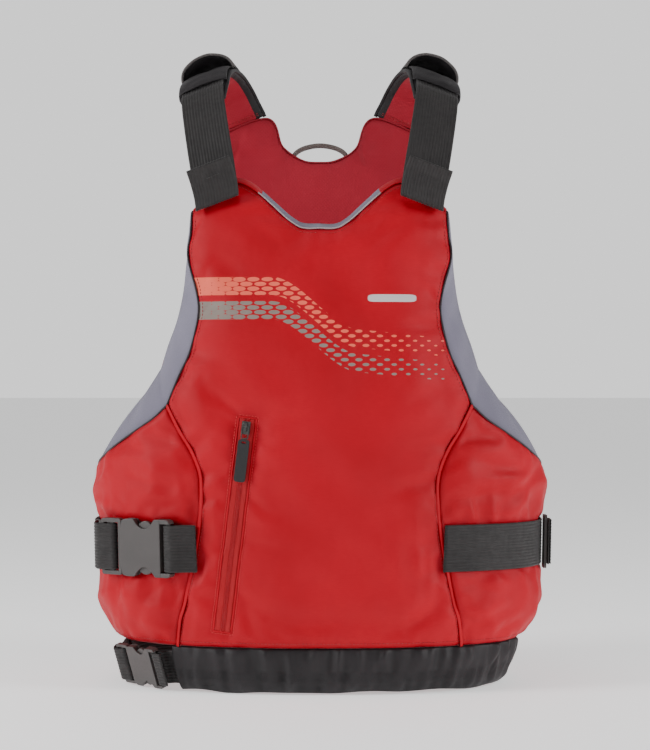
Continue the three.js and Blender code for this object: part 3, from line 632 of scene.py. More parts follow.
def dots(made, shift):
    """One of the two sets of printed dots, from 0 to 1, that together make the staggered rows."""
    dx = to_nearest(made, made.x, FIRST_DOT[0] + shift * COLUMN, COLUMN)
    dz = to_nearest(made, made.z, FIRST_DOT[1] - shift * 2 * ROW, 2 * ROW)
    wide = made.span(made.x, -0.140, -0.075, 0.0021, 0.0) + made.span(made.x, -0.075, 0.133, 0.0071, 0.0018)
    tall = made.span(made.x, -0.140, -0.065, 0.0017, 0.0) + made.span(made.x, -0.020, 0.133, 0.0025, 0.0009)
    return oval(made, dx / wide, dz / tall)


def chest_prints(made, base):
    """Two stripes of dots across the chest and a plain reflective bar."""
    front = made.math("LESS_THAN", made.y, 0.0)
    ends = made.soft(STRIPE_END - made.x, 600.0)
    printed = (made.math("MAXIMUM", dots(made, 0.0), dots(made, 0.5)) * ends) * front
    height = stripe_height(made)
    for offset, colour in STRIPES:
        inside = made.soft(STRIPE_HALF - abs(made.z - (height + offset)), 4000.0)
        base = made.mix((printed * inside) * 0.95, base, linear(*colour))
    bar = oval(made, (made.x - BAR_MIDDLE[0]) / BAR_HALF[0], (made.z - BAR_MIDDLE[1]) / BAR_HALF[1], (8.0, 4.0))
    return made.mix(bar * front, base, linear(206, 200, 200))


def webbing_finish(name, dark, light, pitch=0.0016, fine_pitch=0.0009):
    made = Finish(name, 0.62, 0.1, 0.4)
    across = made.math("SINE", made.u * (2 * math.pi / pitch))
    fine = made.math("SINE", made.v * (2 * math.pi / fine_pitch))
    weave = made.math("MULTIPLY_ADD", across * fine, 0.5, 0.5)
    base = made.blotches(35, 4, dark, light)
    made.set("Base Color", made.mix(made.span(weave, 0.0, 0.6, 0.35, 0.0), base, darker(dark, 0.62)))
    made.rough(180, 2, 0.52, 0.72)
    made.bump((weave, 0.00014), (made.noise(900, 2), 0.00005))
    return made.material


def plastic_finish(name, colour, roughness=0.42, grain=0.00003):
    made = Finish(name, roughness, 0.0, 0.5, coat=0.04)
    base = made.mix(made.span(made.noise(30, 3), 0.3, 0.7), darker(colour, 0.9), linear(*colour))
    scuffs = made.span(made.noise(140, 6, (1, 1, 6), 0.75), 0.62, 0.8, 0.0, 0.35)
    made.set("Base Color", made.mix(scuffs, base, darker(colour, 1.35)))
    made.rough(400, 3, roughness - 0.05, roughness + 0.1)
    made.bump((made.noise(2600, 2), grain), (made.noise(60, 2), 0.0001))
    return made.material


def metal_finish(name, colour, roughness=0.34):
    made = Finish(name, roughness, 0.0, 0.5, metallic=0.75)
    wear = made.span(made.noise(500, 5, roughness=0.7), 0.55, 0.75, 0.0, 0.5)
    made.set("Base Color", made.mix(wear, linear(*colour), linear(150, 146, 140)))
    made.rough(900, 3, roughness - 0.08, roughness + 0.14)
    made.bump((made.noise(1500, 3), 0.00004))
    return made.material


def thread_finish(name, dark, light):
    made = Finish(name, 0.6, 0.2, 0.4)
    made.set("Base Color", made.blotches(1400, 2, dark, light, 0.35, 0.65))
    made.bump((made.noise(2500, 3), 0.0001))
    return made.material


SHELL = dict(dark=(170, 0, 24), light=(194, 0, 32), sheen=0.0, roughness=0.55, specular=0.2)
shell = cloth_finish("shell", **SHELL)
chest_shell = cloth_finish("chest_shell", **SHELL, prints=chest_prints)
lining = cloth_finish("lining", (156, 12, 36), (176, 24, 48), pitch=0.0042, depth=0.00012, seam_shade=0.25, sheen=0.04)
black_cloth = cloth_finish("black_cloth", (21, 17, 20), (32, 27, 30), pitch=0.0013, depth=0.0001, wrinkle=0.0009,
                           roughness=0.56, sheen=0.02, specular=0.4)
gusset_knit = cloth_finish("gusset_knit", (112, 108, 126), (130, 126, 144), pitch=0.0012, depth=0.0001,
                           roughness=0.85, sheen=0.15, twill=True, wrinkle=0.0006)
webbing_grey = webbing_finish("webbing_grey", (31, 28, 28), (41, 37, 37))
loop_tape = webbing_finish("loop_tape", (98, 88, 85), (118, 108, 104))
piping = thread_finish("piping", (40, 33, 38), (54, 47, 52))
piping_grey = thread_finish("piping_grey", (150, 136, 138), (176, 164, 166))
hood_edge = thread_finish("hood_edge", (70, 65, 65), (92, 87, 86))
red_thread = thread_finish("red_thread", (134, 4, 12), (168, 12, 22))
bright_thread = thread_finish("bright_thread", (204, 24, 32), (222, 44, 50))
black_thread = thread_finish("black_thread", (20, 17, 18), (34, 30, 32))
zip_tape = cloth_finish("zip_tape", (160, 0, 16), (182, 4, 24), pitch=0.0008, twill=True, wrinkle=0.0001, sheen=0.04)
zip_tooth = plastic_finish("zip_tooth", (196, 20, 36), 0.36)
buckle_plastic = plastic_finish("buckle_plastic", (72, 67, 66), 0.4)
slider_metal = metal_finish("slider_metal", (74, 72, 71), 0.28)
pull_rubber = plastic_finish("pull_rubber", (22, 22, 24), 0.5, 0.00006)


# ---------------------------------------------------------------- padded panels

EDGE_DEPTH = 1.3                  # how far in the cover's edge is sewn
CROWN = 4.2
WALL_ROWS = 3
BELT_END = 126                    # how far from the middle the belt's front ends are sewn down

# Folds of a pad's cover beside the belt, the seams and the hem: their wavelength, what is added to the pad's seed,
# their stretch and height, how far they reach and how soon they are full.
PUCKERS = dict(length=30, step=1, stretch=(1, 1, 3.6), height=3.6, reach=26, clear=6)
TUCKS = dict(length=34, step=2, stretch=(2.6, 2.6, 1), height=1.9, reach=15, clear=4)
GATHERS = dict(length=26, step=4, stretch=(1, 1, 3), height=1.6, reach=20, clear=6)
SAGGING = dict(length=58, step=5, stretch=(2.2, 2.2, 1), height=3.0, reach=12)     # below the arms
RIPPLE = dict(length=75, height=2.2, reach=22)
CROWN_REACH, FLATTER, FLATTER_REACH = 13, 0.25, 60

# Creases of the front: from (x, z) to (x, z), how deep and how wide.
CREASES = [(146, 257, 225, 238, 2.2, 6), (132, 211, 226, 219, 2.4, 6), (194, 197, 236, 234, 2.8, 5),
           (140, 120, 215, 104, 2.0, 7), (186, 60, 228, 78, 3.2, 5), (156, 72, 215, 91, 2.2, 6),
           (-149, 222, -213, 234, 2.2, 6), (-143, 204, -224, 201, 2.2, 5), (-213, 124, -226, 91, 2.6, 5),
           (-181, 116, -202, 61, 2.4, 6), (-149, 120, -162, 66, 2.0, 6), (-130, 234, -94, 247, 1.8, 6),
           (-132, 211, -101, 213, 2.0, 5), (-62, 80, 126, 74, 3.0, 13), (-79, 516, -36, 478, 1.8, 8),
           (92, 516, 44, 473, 1.8, 8), (130, 243, 104, 222, 2.0, 6), (-118, 470, -84, 452, 1.6, 8),
           (124, 330, 92, 312, 1.6, 8), (60, 60, 128, 92, 2.0, 8), (-126, 330, -100, 318, 1.4, 7)]


def away_from(gap, reach):
    """0 where the gap is 0, rising to 1 over about this reach."""
    return 1 - np.exp(-gap / reach)


def folds_beside(points, gap, seed, length, step, stretch, height, reach, clear):
    """Folds that are 0 where the gap is 0, full just past it, and fade over about this reach."""
    share = np.exp(-gap / reach) * np.clip(gap / clear, 0, 1)
    return folds(points, length, seed + step, stretch) * height * share


def creased(points):
    """How far the front's creases draw the cover in."""
    total = np.zeros(points.shape[:2])
    for x0, z0, x1, z1, deep, wide in CREASES:
        start, line = np.array([x0, z0]), np.array([x1 - x0, z1 - z0], float)
        local = points[..., [0, 2]] - start
        t = np.clip(local @ line / (line @ line), 0, 1)
        gap = np.linalg.norm(local - t[..., None] * line, axis=-1)
        shape = np.exp(-(gap / wide) ** 2) - 0.45 * np.exp(-((gap - 1.9 * wide) / (1.2 * wide)) ** 2)
        total += deep * shape * (1 - (2 * t - 1) ** 4)
    return np.where(points[..., 1] < 0, total, 0)


def belt_gap(points):
    """How far above or below the waist belt a point is; far away where the belt doesn't run."""
    gap = np.maximum(np.abs(points[..., 2] - WAIST["z"]) - WAIST["width"] / 2 - 1, 0)
    bare = (np.abs(points[..., 0]) < BELT_END) & (points[..., 1] < 0)
    return np.where(bare, gap + np.maximum(BELT_END - np.abs(points[..., 0]), 0), gap)


def zip_gap(points):
    """How far a point of the chest is from the zip's window."""
    top, bottom = np.array(ZIP_TOP, float), np.array(ZIP_BOTTOM, float)
    line = unit(bottom - top)
    local = points[..., [0, 2]] - top
    across = np.abs(local @ np.array([line[1], -line[0]]))
    half_length = np.linalg.norm(bottom - top) / 2
    past_end = np.abs(local @ line - half_length) - half_length - 3
    return np.hypot(np.maximum(across - ZIP_WIDTH / 2, 0), np.maximum(past_end, 0))


def seam_gap(face):
    """How far each point of a panel is from the panel's edge."""
    border = np.concatenate([face[0], face[-1], face[:, 0], face[:, -1]])
    return np.array([[np.min(np.linalg.norm(border - point, axis=-1)) for point in row] for row in face])


def cover_depth(face, seam, belt, held, seed):
    """How far in the cover lies: crowned between what is sewn down, with its folds and creases."""
    above_hem = np.maximum(face[..., 2] - HEM, 0)
    below_arm = np.clip((np.abs(face[..., 0]) - 120) / 50, 0, 1) * np.clip((300 - face[..., 2]) / 60, 0, 1)
    swell = CROWN * away_from(held, CROWN_REACH) * (1 - FLATTER * np.exp(-seam / FLATTER_REACH))
    ripple = waves(face, RIPPLE["length"], seed) * RIPPLE["height"] * away_from(held, RIPPLE["reach"])
    sagging = folds(face, SAGGING["length"], seed + SAGGING["step"], SAGGING["stretch"]) * SAGGING["height"]
    drawn = [folds_beside(face, gap, seed, **kind) for gap, kind in
             ((belt, PUCKERS), (seam, TUCKS), (above_hem, GATHERS))]
    return (EDGE_DEPTH - swell - ripple - sum(drawn) - sagging * below_arm * away_from(held, SAGGING["reach"])
            + creased(face) * away_from(held, 6))


def panel_pad(name, outer_map, inner_map, thickness, size, cover, seed, has_zip=False):
    """A closed pad: cover, walls and lining on one grid. Returns the object and which points are sewn down."""
    columns, rows = size
    us, vs = np.linspace(0, 1, columns + 1), np.linspace(0, 1, rows + 1)
    spots, inner_spots = outer_map(us, vs), inner_map(us, vs)
    face = torso(spots[..., 0], spots[..., 1])
    seam, belt = seam_gap(face), belt_gap(face)
    held = np.minimum(seam, belt)
    if has_zip:
        held = np.minimum(held, zip_gap(face) + 1)
    outer = torso(spots[..., 0], spots[..., 1], cover_depth(face, seam, belt, held, seed))
    lining_seam = np.minimum(np.minimum(us, 1 - us)[None, :] * columns, np.minimum(vs, 1 - vs)[:, None] * rows) * 6
    sink = thickness(inner_spots[..., 1]) - 1 + 2.2 * away_from(lining_seam, 20)
    inner = torso(inner_spots[..., 0], inner_spots[..., 1], sink + waves(face, 70, seed + 3) * 0.8)

    count = (columns + 1) * (rows + 1)
    index = np.arange(count).reshape(rows + 1, columns + 1)
    loop = np.concatenate([index[0, :-1], index[:-1, -1], index[-1, :0:-1], index[:0:-1, 0]])
    skins = [outer.reshape(-1, 3), inner.reshape(-1, 3)]
    shares = np.arange(1, WALL_ROWS + 1) / (WALL_ROWS + 1)
    points = np.concatenate(skins + [skins[0][loop] * (1 - share) + skins[1][loop] * share for share in shares])
    chains = [loop, *(2 * count + k * len(loop) + np.arange(len(loop)) for k in range(WALL_ROWS)), loop + count]
    walls = [np.stack([a, np.roll(a, -1), np.roll(b, -1), b], -1) for a, b in zip(chains, chains[1:])]
    faces = np.concatenate([grid_faces(columns, rows), grid_faces(columns, rows, count), *walls])
    kinds = np.repeat([0, 1, 2], [columns * rows, columns * rows, len(loop) * len(walls)])

    across = np.cumsum(np.linalg.norm(np.diff(face, axis=1, prepend=face[:, :1]), axis=-1), 1)
    across -= across[:, columns // 2:columns // 2 + 1]
    plan = np.stack([across, face[..., 2]], -1).reshape(-1, 2) * MM
    walled = np.ones(len(loop) * WALL_ROWS)
    # Painted shade: full on the walls, strongest where the cover is sewn down and along the lining's edges.
    shade_marks = np.concatenate([np.exp(-held / 3.2).reshape(-1), np.exp(-lining_seam / 6).reshape(-1), walled])
    obj = piece(name, points, faces, [cover, lining, shell], None, kinds,
                np.concatenate([plan, plan, *[plan[loop]] * WALL_ROWS]), shade_marks)
    return obj, np.concatenate([(held <= 1).reshape(-1), (lining_seam < 1).reshape(-1), walled > 0])


def settle(items, frames_count=20, cap=0.0045):
    """Cloth pressure swells the pads between what is sewn down, and the applied result is what stays."""
    scene = bpy.context.scene
    for obj, sewn in items:
        group = obj.vertex_groups.new(name="sewn")
        group.add(np.flatnonzero(sewn).tolist(), 1.0, "REPLACE")
        cloth = obj.modifiers.new("cloth", "CLOTH")
        for key, value in dict(
                vertex_group_mass="sewn", quality=5, mass=0.25, tension_stiffness=12, compression_stiffness=8,
                shear_stiffness=4, bending_stiffness=0.35, use_pressure=True, uniform_pressure_force=4,
                shrink_min=-0.035).items():
            setattr(cloth.settings, key, value)
        cloth.settings.effector_weights.gravity = 0
        cloth.collision_settings.use_collision = False
        cloth.point_cache.frame_start = 1
        cloth.point_cache.frame_end = frames_count
    for number in range(1, frames_count + 1):
        scene.frame_set(number)
    graph = bpy.context.evaluated_depsgraph_get()
    for obj, _ in items:
        mesh = obj.data
        rest, moved = (np.zeros(len(mesh.vertices) * 3, np.float32) for _ in range(2))
        mesh.vertices.foreach_get("co", rest)
        obj.evaluated_get(graph).data.vertices.foreach_get("co", moved)
        shift = (moved - rest).reshape(-1, 3)
        far = np.maximum(np.linalg.norm(shift, axis=1, keepdims=True), 1e-9)
        shift *= cap * np.tanh(far / cap) / far
        obj.modifiers.remove(obj.modifiers["cloth"])
        obj.vertex_groups.clear()
        mesh.vertices.foreach_set("co", (rest.reshape(-1, 3) + shift).ravel())
        mesh.update()
    scene.frame_set(1)


pads = [
    panel_pad("front_center_pad", CHEST_OUTER, CHEST_INNER, front_thickness, (54, 78), chest_shell, 11, has_zip=True),
    panel_pad("front_right_wing_pad", WING_OUTER[-1], WING_INNER[-1], front_thickness, (34, 44), shell, 23),
    panel_pad("front_left_wing_pad", WING_OUTER[1], WING_INNER[1], front_thickness, (34, 44), shell, 37),
    panel_pad("back_pad", BACK_OUTER, BACK_OUTER, back_thickness, (104, 92), shell, 53),
]
settle(pads)
for obj, _ in pads:
    panel = obj.name.removesuffix("_pad")
    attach(obj, "jacket")
    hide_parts(*(f"{panel}_{layer}" for layer in ("cover", "foam", "lining")),
                *(["pocket_bag"] if panel == "front_center" else []))
    rounded(obj)
bpy.context.view_layer.update()
graph = bpy.context.evaluated_depsgraph_get()
trees = [BVHTree.FromObject(obj, graph) for obj, _ in pads]


RAY_START, RAY_LENGTH = 30, 0.07


def seat(angle, z, lift=0.0):
    """Points on the settled pads, with their outward directions, as six columns in millimetres."""
    angle, z = together(angle, z)
    found = []
    for start, aim in zip(world(torso(angle, z, -RAY_START)), world(torso(angle, z))):
        way = Vector(aim - start).normalized()
        hits = [tree.ray_cast(Vector(start), way, RAY_LENGTH) for tree in trees]
        hits = [hit for hit in hits if hit[0] is not None]
        spot = min(hits, key=lambda hit: hit[3])[0] if hits else aim
        found.append([*(np.array(spot) / MM - [0, BOX_CENTRE, 0] - np.array(way) * lift), *(-np.array(way))])
    return np.array(found)


def seat_xz(x, z, lift=0.0):
    return seat(angle_at(x, z), z, lift)


# ---------------------------------------------------------------- gussets and piping

EDGE_LIFT = 0.5


def gusset(name, outer, inner, away, bulge, material, slot, replaced, shell_past=None, wall=1.3, across=9):
    """A strip of cloth over a foam edge, from the cover's edge in to the lining's.

    Past the two stations of shell_past, it has the shell's material instead.
    """
    middle = (outer + inner) / 2
    out = unit(np.cross(np.gradient(middle, axis=0), inner - outer))
    out *= np.sign(out @ np.asarray(away, float))[:, None]
    q = np.linspace(0, 1, across + 1)
    skin = outer[:, None] + (inner - outer)[:, None] * q[None, :, None]
    ease = waves(middle, 40, len(name)) * 0.35
    lift = (bulge * np.sin(np.pi * q) ** 0.8)[None, :] * (1 + ease)[:, None] + EDGE_LIFT
    high, low = skin + out[:, None] * lift[..., None], skin + out[:, None] * (lift - wall)[..., None]
    rings = np.concatenate([high, low[:, ::-1]], 1)
    points, faces = loft(rings)
    # Painted shade along both edges of the strip, where it meets the cover and the lining.
    shade_marks = np.concatenate([np.exp(-np.minimum(q, 1 - q) * 12)] * 2)
    station = np.arange(len(faces)) // rings.shape[1]
    first, last = shell_past or (0, len(faces))
    obj = piece(name, points, faces, [material, shell], "jacket", (station < first) | (station > last), ring_uv(rings),
                np.broadcast_to(shade_marks, rings.shape[:2]).reshape(-1), slot, [replaced])
    rounded(obj)


def ring_points(plan, us, vs, depth=1.0):
    spots = plan(np.atleast_1d(us), np.atleast_1d(vs)).reshape(-1, 2)
    return torso(spots[:, 0], spots[:, 1], depth(spots[:, 1]) if callable(depth) else depth)


chest_run, wing_run = np.linspace(1, SEAM_SHARE, 34), np.linspace(0, 1, 30)[1:]
back_run, across_neck = np.linspace(1, BACK_SIDE_SHARE, 60), np.linspace(0, 1, 90)
armhole_lines = {}
for word, side in SIDES:
    u = (side + 1) / 2
    outer = np.concatenate([ring_points(CHEST_OUTER, u, chest_run), ring_points(WING_OUTER[side], wing_run, 1)])
    inner = np.concatenate([ring_points(CHEST_INNER, u, chest_run, front_thickness),
                            ring_points(WING_INNER[side], wing_run, 1, front_thickness)])
    gusset(f"{word}_armhole_knit", outer, inner, (side, 0, 1), 2.6, gusset_knit, "gusset_grey",
           f"{word}_armhole_gusset")
    back_outer = ring_points(BACK_OUTER, 1 - u, back_run)
    gusset(f"{word}_back_knit", back_outer, ring_points(BACK_OUTER, 1 - u, back_run, back_thickness),
           (side, 0, 0.7), 2.2, gusset_knit, "gusset_grey", f"{word}_back_gusset")
    armhole_lines[word] = (outer, back_outer)

neck_outer, back_neck_outer = ring_points(CHEST_OUTER, across_neck, 1), ring_points(BACK_OUTER, across_neck, 1)
gusset("front_neck_knit", neck_outer, ring_points(CHEST_INNER, across_neck, 1, front_thickness), (0, 0, 1), 1.6,
       gusset_knit, "gusset_grey", "front_neck_gusset", (24, 65))
gusset("back_neck_cloth", back_neck_outer, ring_points(BACK_OUTER, across_neck, 1, back_thickness), (0, 0, 1), 1.6,
       lining, "lining_red", "back_neck_gusset")

for word, (outer, back_outer) in armhole_lines.items():
    tube(f"{word}_armhole_piping", outer + unit(outer * [1, 1, 0]) * 0.4, 0.95, piping, "cloth_black")
    tube(f"{word}_back_piping", back_outer + unit(back_outer * [1, 1, 0]) * 0.4, 1.25, piping, "cloth_black")
for word, start, finish, material in (("right", 2, 24, shell), ("middle", 23, 67, piping_grey),
                                      ("left", 66, 88, shell)):
    tube(f"neck_piping_{word}", neck_outer[start:finish] + [0, -0.2, 0.5], 0.8, material, "gusset_grey")
tube("back_neck_piping", back_neck_outer[2:-2] + [0, 0.2, 0.5], 1.1, piping, "cloth_black")


# ---------------------------------------------------------------- seams and stitching

THREAD_LIFT = 0.15
HEM_STITCHING = 56                # its height


def seam_line(points, inwards, start=0.0, finish=1.0, count=90):
    """A seam of the chest, moved inwards by this many millimetres, as (x, z)."""
    curve = outline(points)(np.linspace(start, finish, count))
    ahead = np.gradient(curve, axis=0)
    return curve + unit(np.stack([-ahead[:, 1], ahead[:, 0]], -1)) * inwards


def sewn_line(side, points, *where, back=False):
    x, z = seam_line(points, *where).T
    return seat(angle_at(side * x, z, back=back), z, THREAD_LIFT)


def hem_line(start, finish, count):
    return seat(np.radians(np.linspace(start, finish, count)), HEM_STITCHING, THREAD_LIFT)


def welt(name, points, half_wide, half_high):
    """A low rounded ridge of folded cloth along a seam."""
    path = fine_path(points, 2.5)
    out = unit(path * [1, 1, 0])
    across = unit(np.cross(np.gradient(path, axis=0), out))
    cosine, sine = circle(12)
    lofted(name, swept(path, across, out, cosine * half_wide, sine * half_high), shell, slot="shell_red")


lines = []
for word, side in SIDES:
    lines.append(sewn_line(side, PRINCESS_SEAM, 3.8))
    x, z = outline(PRINCESS_SEAM)(np.linspace(0, 1, 90)).T
    welt(f"princess_welt_{word}", torso(angle_at(side * x, z), z, 0.9), 2.6, 1.1)
lines += [hem_line(-93, 93, 260), hem_line(97, 263, 240)]
lines += [sewn_line(side, NECK, -4.5, 0.02, 0.74) for side in (1, -1)]
for word, side in SIDES:
    lines += [sewn_line(side, ARMHOLE, 4.5, 0.03, 0.97), sewn_line(side, BACK_ARMHOLE, 5, 0.03, 0.98, back=True),
              sewn_line(side, BACK_NECK, -5, 0.02, 0.96, back=True)]
    heights = np.linspace(52, UNDERARM_SIDE - 1, 50)
    welt(f"side_welt_{word}", torso(side * (FRONT_SIDE + BACK_SIDE) / 2, heights, 1.0), 3.4, 1.2)
stitches("shell_stitching", lines, red_thread, "shell_red")


# ---------------------------------------------------------------- zip

ZIP_LIFT = 0.5
HALF_ZIP = ZIP_WIDTH / 2
TOOTH = np.array([(-1, 0.55), (-0.4, 1), (0.5, 1), (1, 0.5)])     # its rings: where across it, and their size
TOOTH_REACH, TOOTH_HALF, TOOTH_HEIGHT = 1.25, 0.46, 0.62


def zip_path(across, start=0.0, finish=1.0, lift=0.0, count=70):
    return seat_xz(*zip_spot(np.linspace(start, finish, count), across), lift)


def zip_band(word, first, second, low, high, columns=4):
    """A tape, as a flat band between two seated lines."""
    q = np.linspace(0, 1, columns + 1)[None, :, None]
    skin = first[:, None, :3] * (1 - q) + second[:, None, :3] * q
    out = first[:, None, 3:]
    lofted(f"zip_band_{word}", np.concatenate([skin + out * high, (skin + out * low)[:, ::-1]], 1), zip_tape,
           slot="zip_red", replaced=[f"zip_tape_{word}"])


for word, sign in SIDES:
    zip_band(word, zip_path(sign * 1.6), zip_path(sign * (HALF_ZIP - 1.2)), -1.2, ZIP_LIFT)
path = fine_path(zip_path(0, 0.004, 0.996, ZIP_LIFT + 0.35, 120), 1.35)
(share, size), (cosine, sine) = TOOTH.T[..., None], circle(6)
teeth = []
for number, spot in enumerate(path):
    ahead = unit(path[min(number + 1, len(path) - 1), :3] - path[max(number - 1, 0), :3])
    out = unit(spot[3:])
    across = unit(np.cross(ahead, out))
    for sign in (-1, 1):
        centres = spot[:3] + across * sign * 1.05 + ahead * (0.34 * sign) + across * share * TOOTH_REACH
        teeth.append(loft(swept(centres, ahead, out, cosine * TOOTH_HALF * size, sine * TOOTH_HEIGHT * size)))
piece("zip_teeth", *joined(teeth), [zip_tooth], "jacket", slot="zip_red", replaced=["zip_coil"])


def window(grow, count=60, corner=2):
    """A rounded path round the zip's window, this far outside it, as seated points."""
    past = grow / math.dist(ZIP_TOP, ZIP_BOTTOM)
    down, out = np.linspace(-past * 0.5, 1 + past * 0.5, count), HALF_ZIP + grow
    over = np.linspace(-out + corner, out - corner, 8)
    rim = [(along, -out) for along in down] + [(1 + past, across) for across in over]
    rim += [(along, out) for along in down[::-1]] + [(-past, across) for across in over[::-1]]
    return seat_xz(*zip_spot(*np.array(rim + rim[:1]).T), 0.1)


tube("zip_window_edge", window(0.2)[:, :3], 0.95, shell, "shell_red", step=2.0)
stitches("zip_window_stitching", [window(2.4)], bright_thread, "shell_red", length=2.2, gap=1.1, radius=0.3)
refinished("zip_slider", slider_metal, 0.0004, 2, 40)
refinished("zip_pull_link", slider_metal, 0.0004, 2, 40)
refinished("zip_pull_tab", pull_rubber, 0.0007, 3, 40)


# ---------------------------------------------------------------- belts and buckles

def ribbed(width, thickness, pitch=3.4, groove=0.6):
    """A webbing's cross-section: lengthwise ribs on both faces and rounded edges."""
    ribs = max(round(width / pitch), 3)
    s = np.linspace(-1, 1, ribs * 5 + 1)
    height = thickness / 2 - groove * (0.5 + 0.5 * np.cos(2 * math.pi * ribs * (s + 1) / 2)) ** 2
    rim = np.clip((1 - np.abs(s)) * width / 2 / 1.2, 0, 1)
    top = np.stack([s * width / 2, height * (0.35 + 0.65 * np.sqrt(1 - (1 - rim) ** 2))], -1)
    return np.concatenate([top, (top * [1, -1])[::-1]])


def strap(name, stations, width, body, replaced, thickness=WEBBING, pitch=3.4, step=2.5, material=webbing_grey,
          slot="webbing"):
    """Webbing along stations, which are points and the direction of the width."""
    rings = swept(*frames(fine_path(stations, step)), *ribbed(width, thickness, pitch).T)
    lofted(name, rings, material, body, slot, [replaced])


def basis(angle, z):
    """The directions across, up and out at a point of the surface."""
    up = unit(torso(angle, z + 15) - torso(angle, z - 15))
    across = unit(torso(angle + 0.05, z) - torso(angle - 0.05, z))
    out = unit(np.cross(across, up))
    return across, unit(np.cross(out, across)), out


def buckle_angle(belt):
    return -float(angle_at(belt["buckle_x"], belt["z"]))


def buckle_points(belt, spots, lift=0.8):
    """Points given in the buckle's own frame, along the belt, up and out, at the waist buckle's size."""
    angle, scale = buckle_angle(belt), belt["width"] / WAIST["width"]
    return torso(angle, belt["z"], -lift) + spots @ np.array(basis(angle, belt["z"])) * scale


def in_buckle(belt, *spots):
    """Stations of the webbing in the buckle, from how far along and how far out they are."""
    up = basis(buckle_angle(belt), belt["z"])[1]
    return [[*point, *up] for point in buckle_points(belt, np.array([(x, 0, z) for x, z in spots], float))]


def on_body(start, finish, count, z, lift):
    """Stations of webbing that lies on the body between two angles."""
    return [[*torso(angle, z, -lift), *unit(torso(angle, z + 12) - torso(angle, z - 12))]
            for angle in np.linspace(start, finish, count + 1)]


def round_bar(x, sign, downwards, steps=8):
    """Half a turn round a bar of the buckle."""
    turns = np.linspace(0, math.pi, steps + 1) if downwards else np.linspace(math.pi, 0, steps + 1)
    return [(x + sign * 4.6 * math.sin(a), sum(BAR_LEVELS) / 2 + 4 * math.cos(a)) for a in turns]


front_bar, side_bar = round_bar(28, -1, True), round_bar(-46, 1, False)
waist_z, lower_z = WAIST["z"], LOWER["z"]
seam_angle = -float(angle_at(132.5, waist_z))
inner_layer = WEBBING / 2 + BELT_CLEARANCE
outer_layer = inner_layer + WEBBING + CLEARANCE
in_tunnel = -TUNNEL_DEPTH / 2
for name, belt, body, replaced, step, stations in (
        ("waist_belt_front", WAIST, "jacket", "waist_webbing_front", 1.5,
         on_body(seam_angle, seam_angle, 0, waist_z, outer_layer)
         + in_buckle(WAIST, (46, 2.5), (34, 9.4), *front_bar, (34, 1.1), (46, -3.6))
         + on_body(seam_angle, seam_angle, 0, waist_z, inner_layer)),
        ("waist_belt_side", WAIST, "waist_plug", "waist_webbing_side", 1.5,
         on_body(math.radians(-97), math.radians(-84), 5, waist_z, outer_layer)
         + in_buckle(WAIST, (-64, -8), *side_bar, (-61, 10.9), (-70, 5), (-78, -6), (-83, -18))),
        ("waist_belt_back", WAIST, "jacket", "waist_webbing_back", 4,
         on_body(float(angle_at(134, waist_z)), math.radians(272), 60, waist_z, inner_layer - CLEARANCE)),
        ("lower_belt_body", LOWER, "jacket", "lower_webbing_body", 2.5,
         in_buckle(LOWER, (44, 9.2), *front_bar, (36, 0.9))
         + on_body(-float(angle_at(164, lower_z)), math.radians(266), 70, lower_z, in_tunnel)),
        ("lower_belt_side", LOWER, "lower_plug", "lower_webbing_side", 1.5,
         on_body(math.radians(-98), math.radians(-86), 4, lower_z, in_tunnel + WEBBING + CLEARANCE)
         + in_buckle(LOWER, (-62, -5), *side_bar, (-60, 11), (-68, 6), (-73, -2)))):
    strap(name, stations, belt["width"], body, replaced, step=step)

# The buckle, along the belt and up, at the waist buckle's size.
CASE_TOP = 11
CASE_BARS = [[(17, -27), (20.2, -27), (20.2, 27), (17, 27)], [(26, -27), (30, -27), (30, 27), (26, 27)]]
RAIL = [(13, 26.6), (13, 31.4), (28, 31.5), (31, 30.4), (32.5, 27.5), (32.5, 26.6)]
WING_RAIL = [(-31, 24), (-30.6, 29), (-29, 30.4), (-16, 31.2), (-14, 30), (-12.6, 24)]
PRONG_SPAN = (2.9, 8.1)


def extruded(outline_points, low, high):
    """A closed plate from an outline in (x, y)."""
    n = len(outline_points)
    points = [(x, y, low) for x, y in outline_points] + [(x, y, high) for x, y in outline_points]
    faces = [list(range(n))[::-1], [n + i for i in range(n)]]
    faces += [[i, (i + 1) % n, n + (i + 1) % n, n + i] for i in range(n)]
    return points, faces


def arc_points(start, middle, finish, steps=14):
    """A curve from start to finish that leans to the middle point."""
    t = np.linspace(0, 1, steps + 1)[:, None]
    a, b, c = (np.array(p, float) for p in (start, middle, finish))
    return ((1 - t) ** 2 * a + 2 * t * (1 - t) * b + t * t * c).tolist()


def buckle_piece(name, belt, parts, body, replaced, edge_radius):
    points, faces = joined(parts)
    obj = piece(name, buckle_points(belt, points), faces, [buckle_plastic], body, slot="plastic_grey",
                replaced=[replaced])
    softened(obj, edge_radius * belt["width"] / WAIST["width"], 3, 50)


def buckle_case(word, belt):
    """The buckle's hollow case: two shaped plates, side rails, a wall and the bar that holds the webbing."""
    upper = arc_points((20.2, 31.5), (16, 31.5), (13, 31.3), 3) + arc_points((12, 30.6), (-1, 11.4), (-14, 30.6), 20)
    upper += arc_points((-15, 31.3), (-24, 32), (-29, 30.4), 6)
    case = upper + arc_points((-30.6, 29), (-35, 0), (-30.6, -29), 16) + [(x, -y) for x, y in upper[::-1]]
    parts = [extruded(case, 8.4, CASE_TOP), extruded(case, 0, 2.2), extruded(CASE_BARS[0], 1, CASE_TOP - 0.6),
             extruded(CASE_BARS[1], *BAR_LEVELS)]
    parts += [extruded([(x, sign * y) for x, y in rail[::sign]], 0.4, CASE_TOP - 0.4)
              for sign in (1, -1) for rail in (RAIL, WING_RAIL)]
    buckle_piece(f"{word}_buckle_case", belt, parts, "jacket", f"{word}_buckle_female", 0.0011)


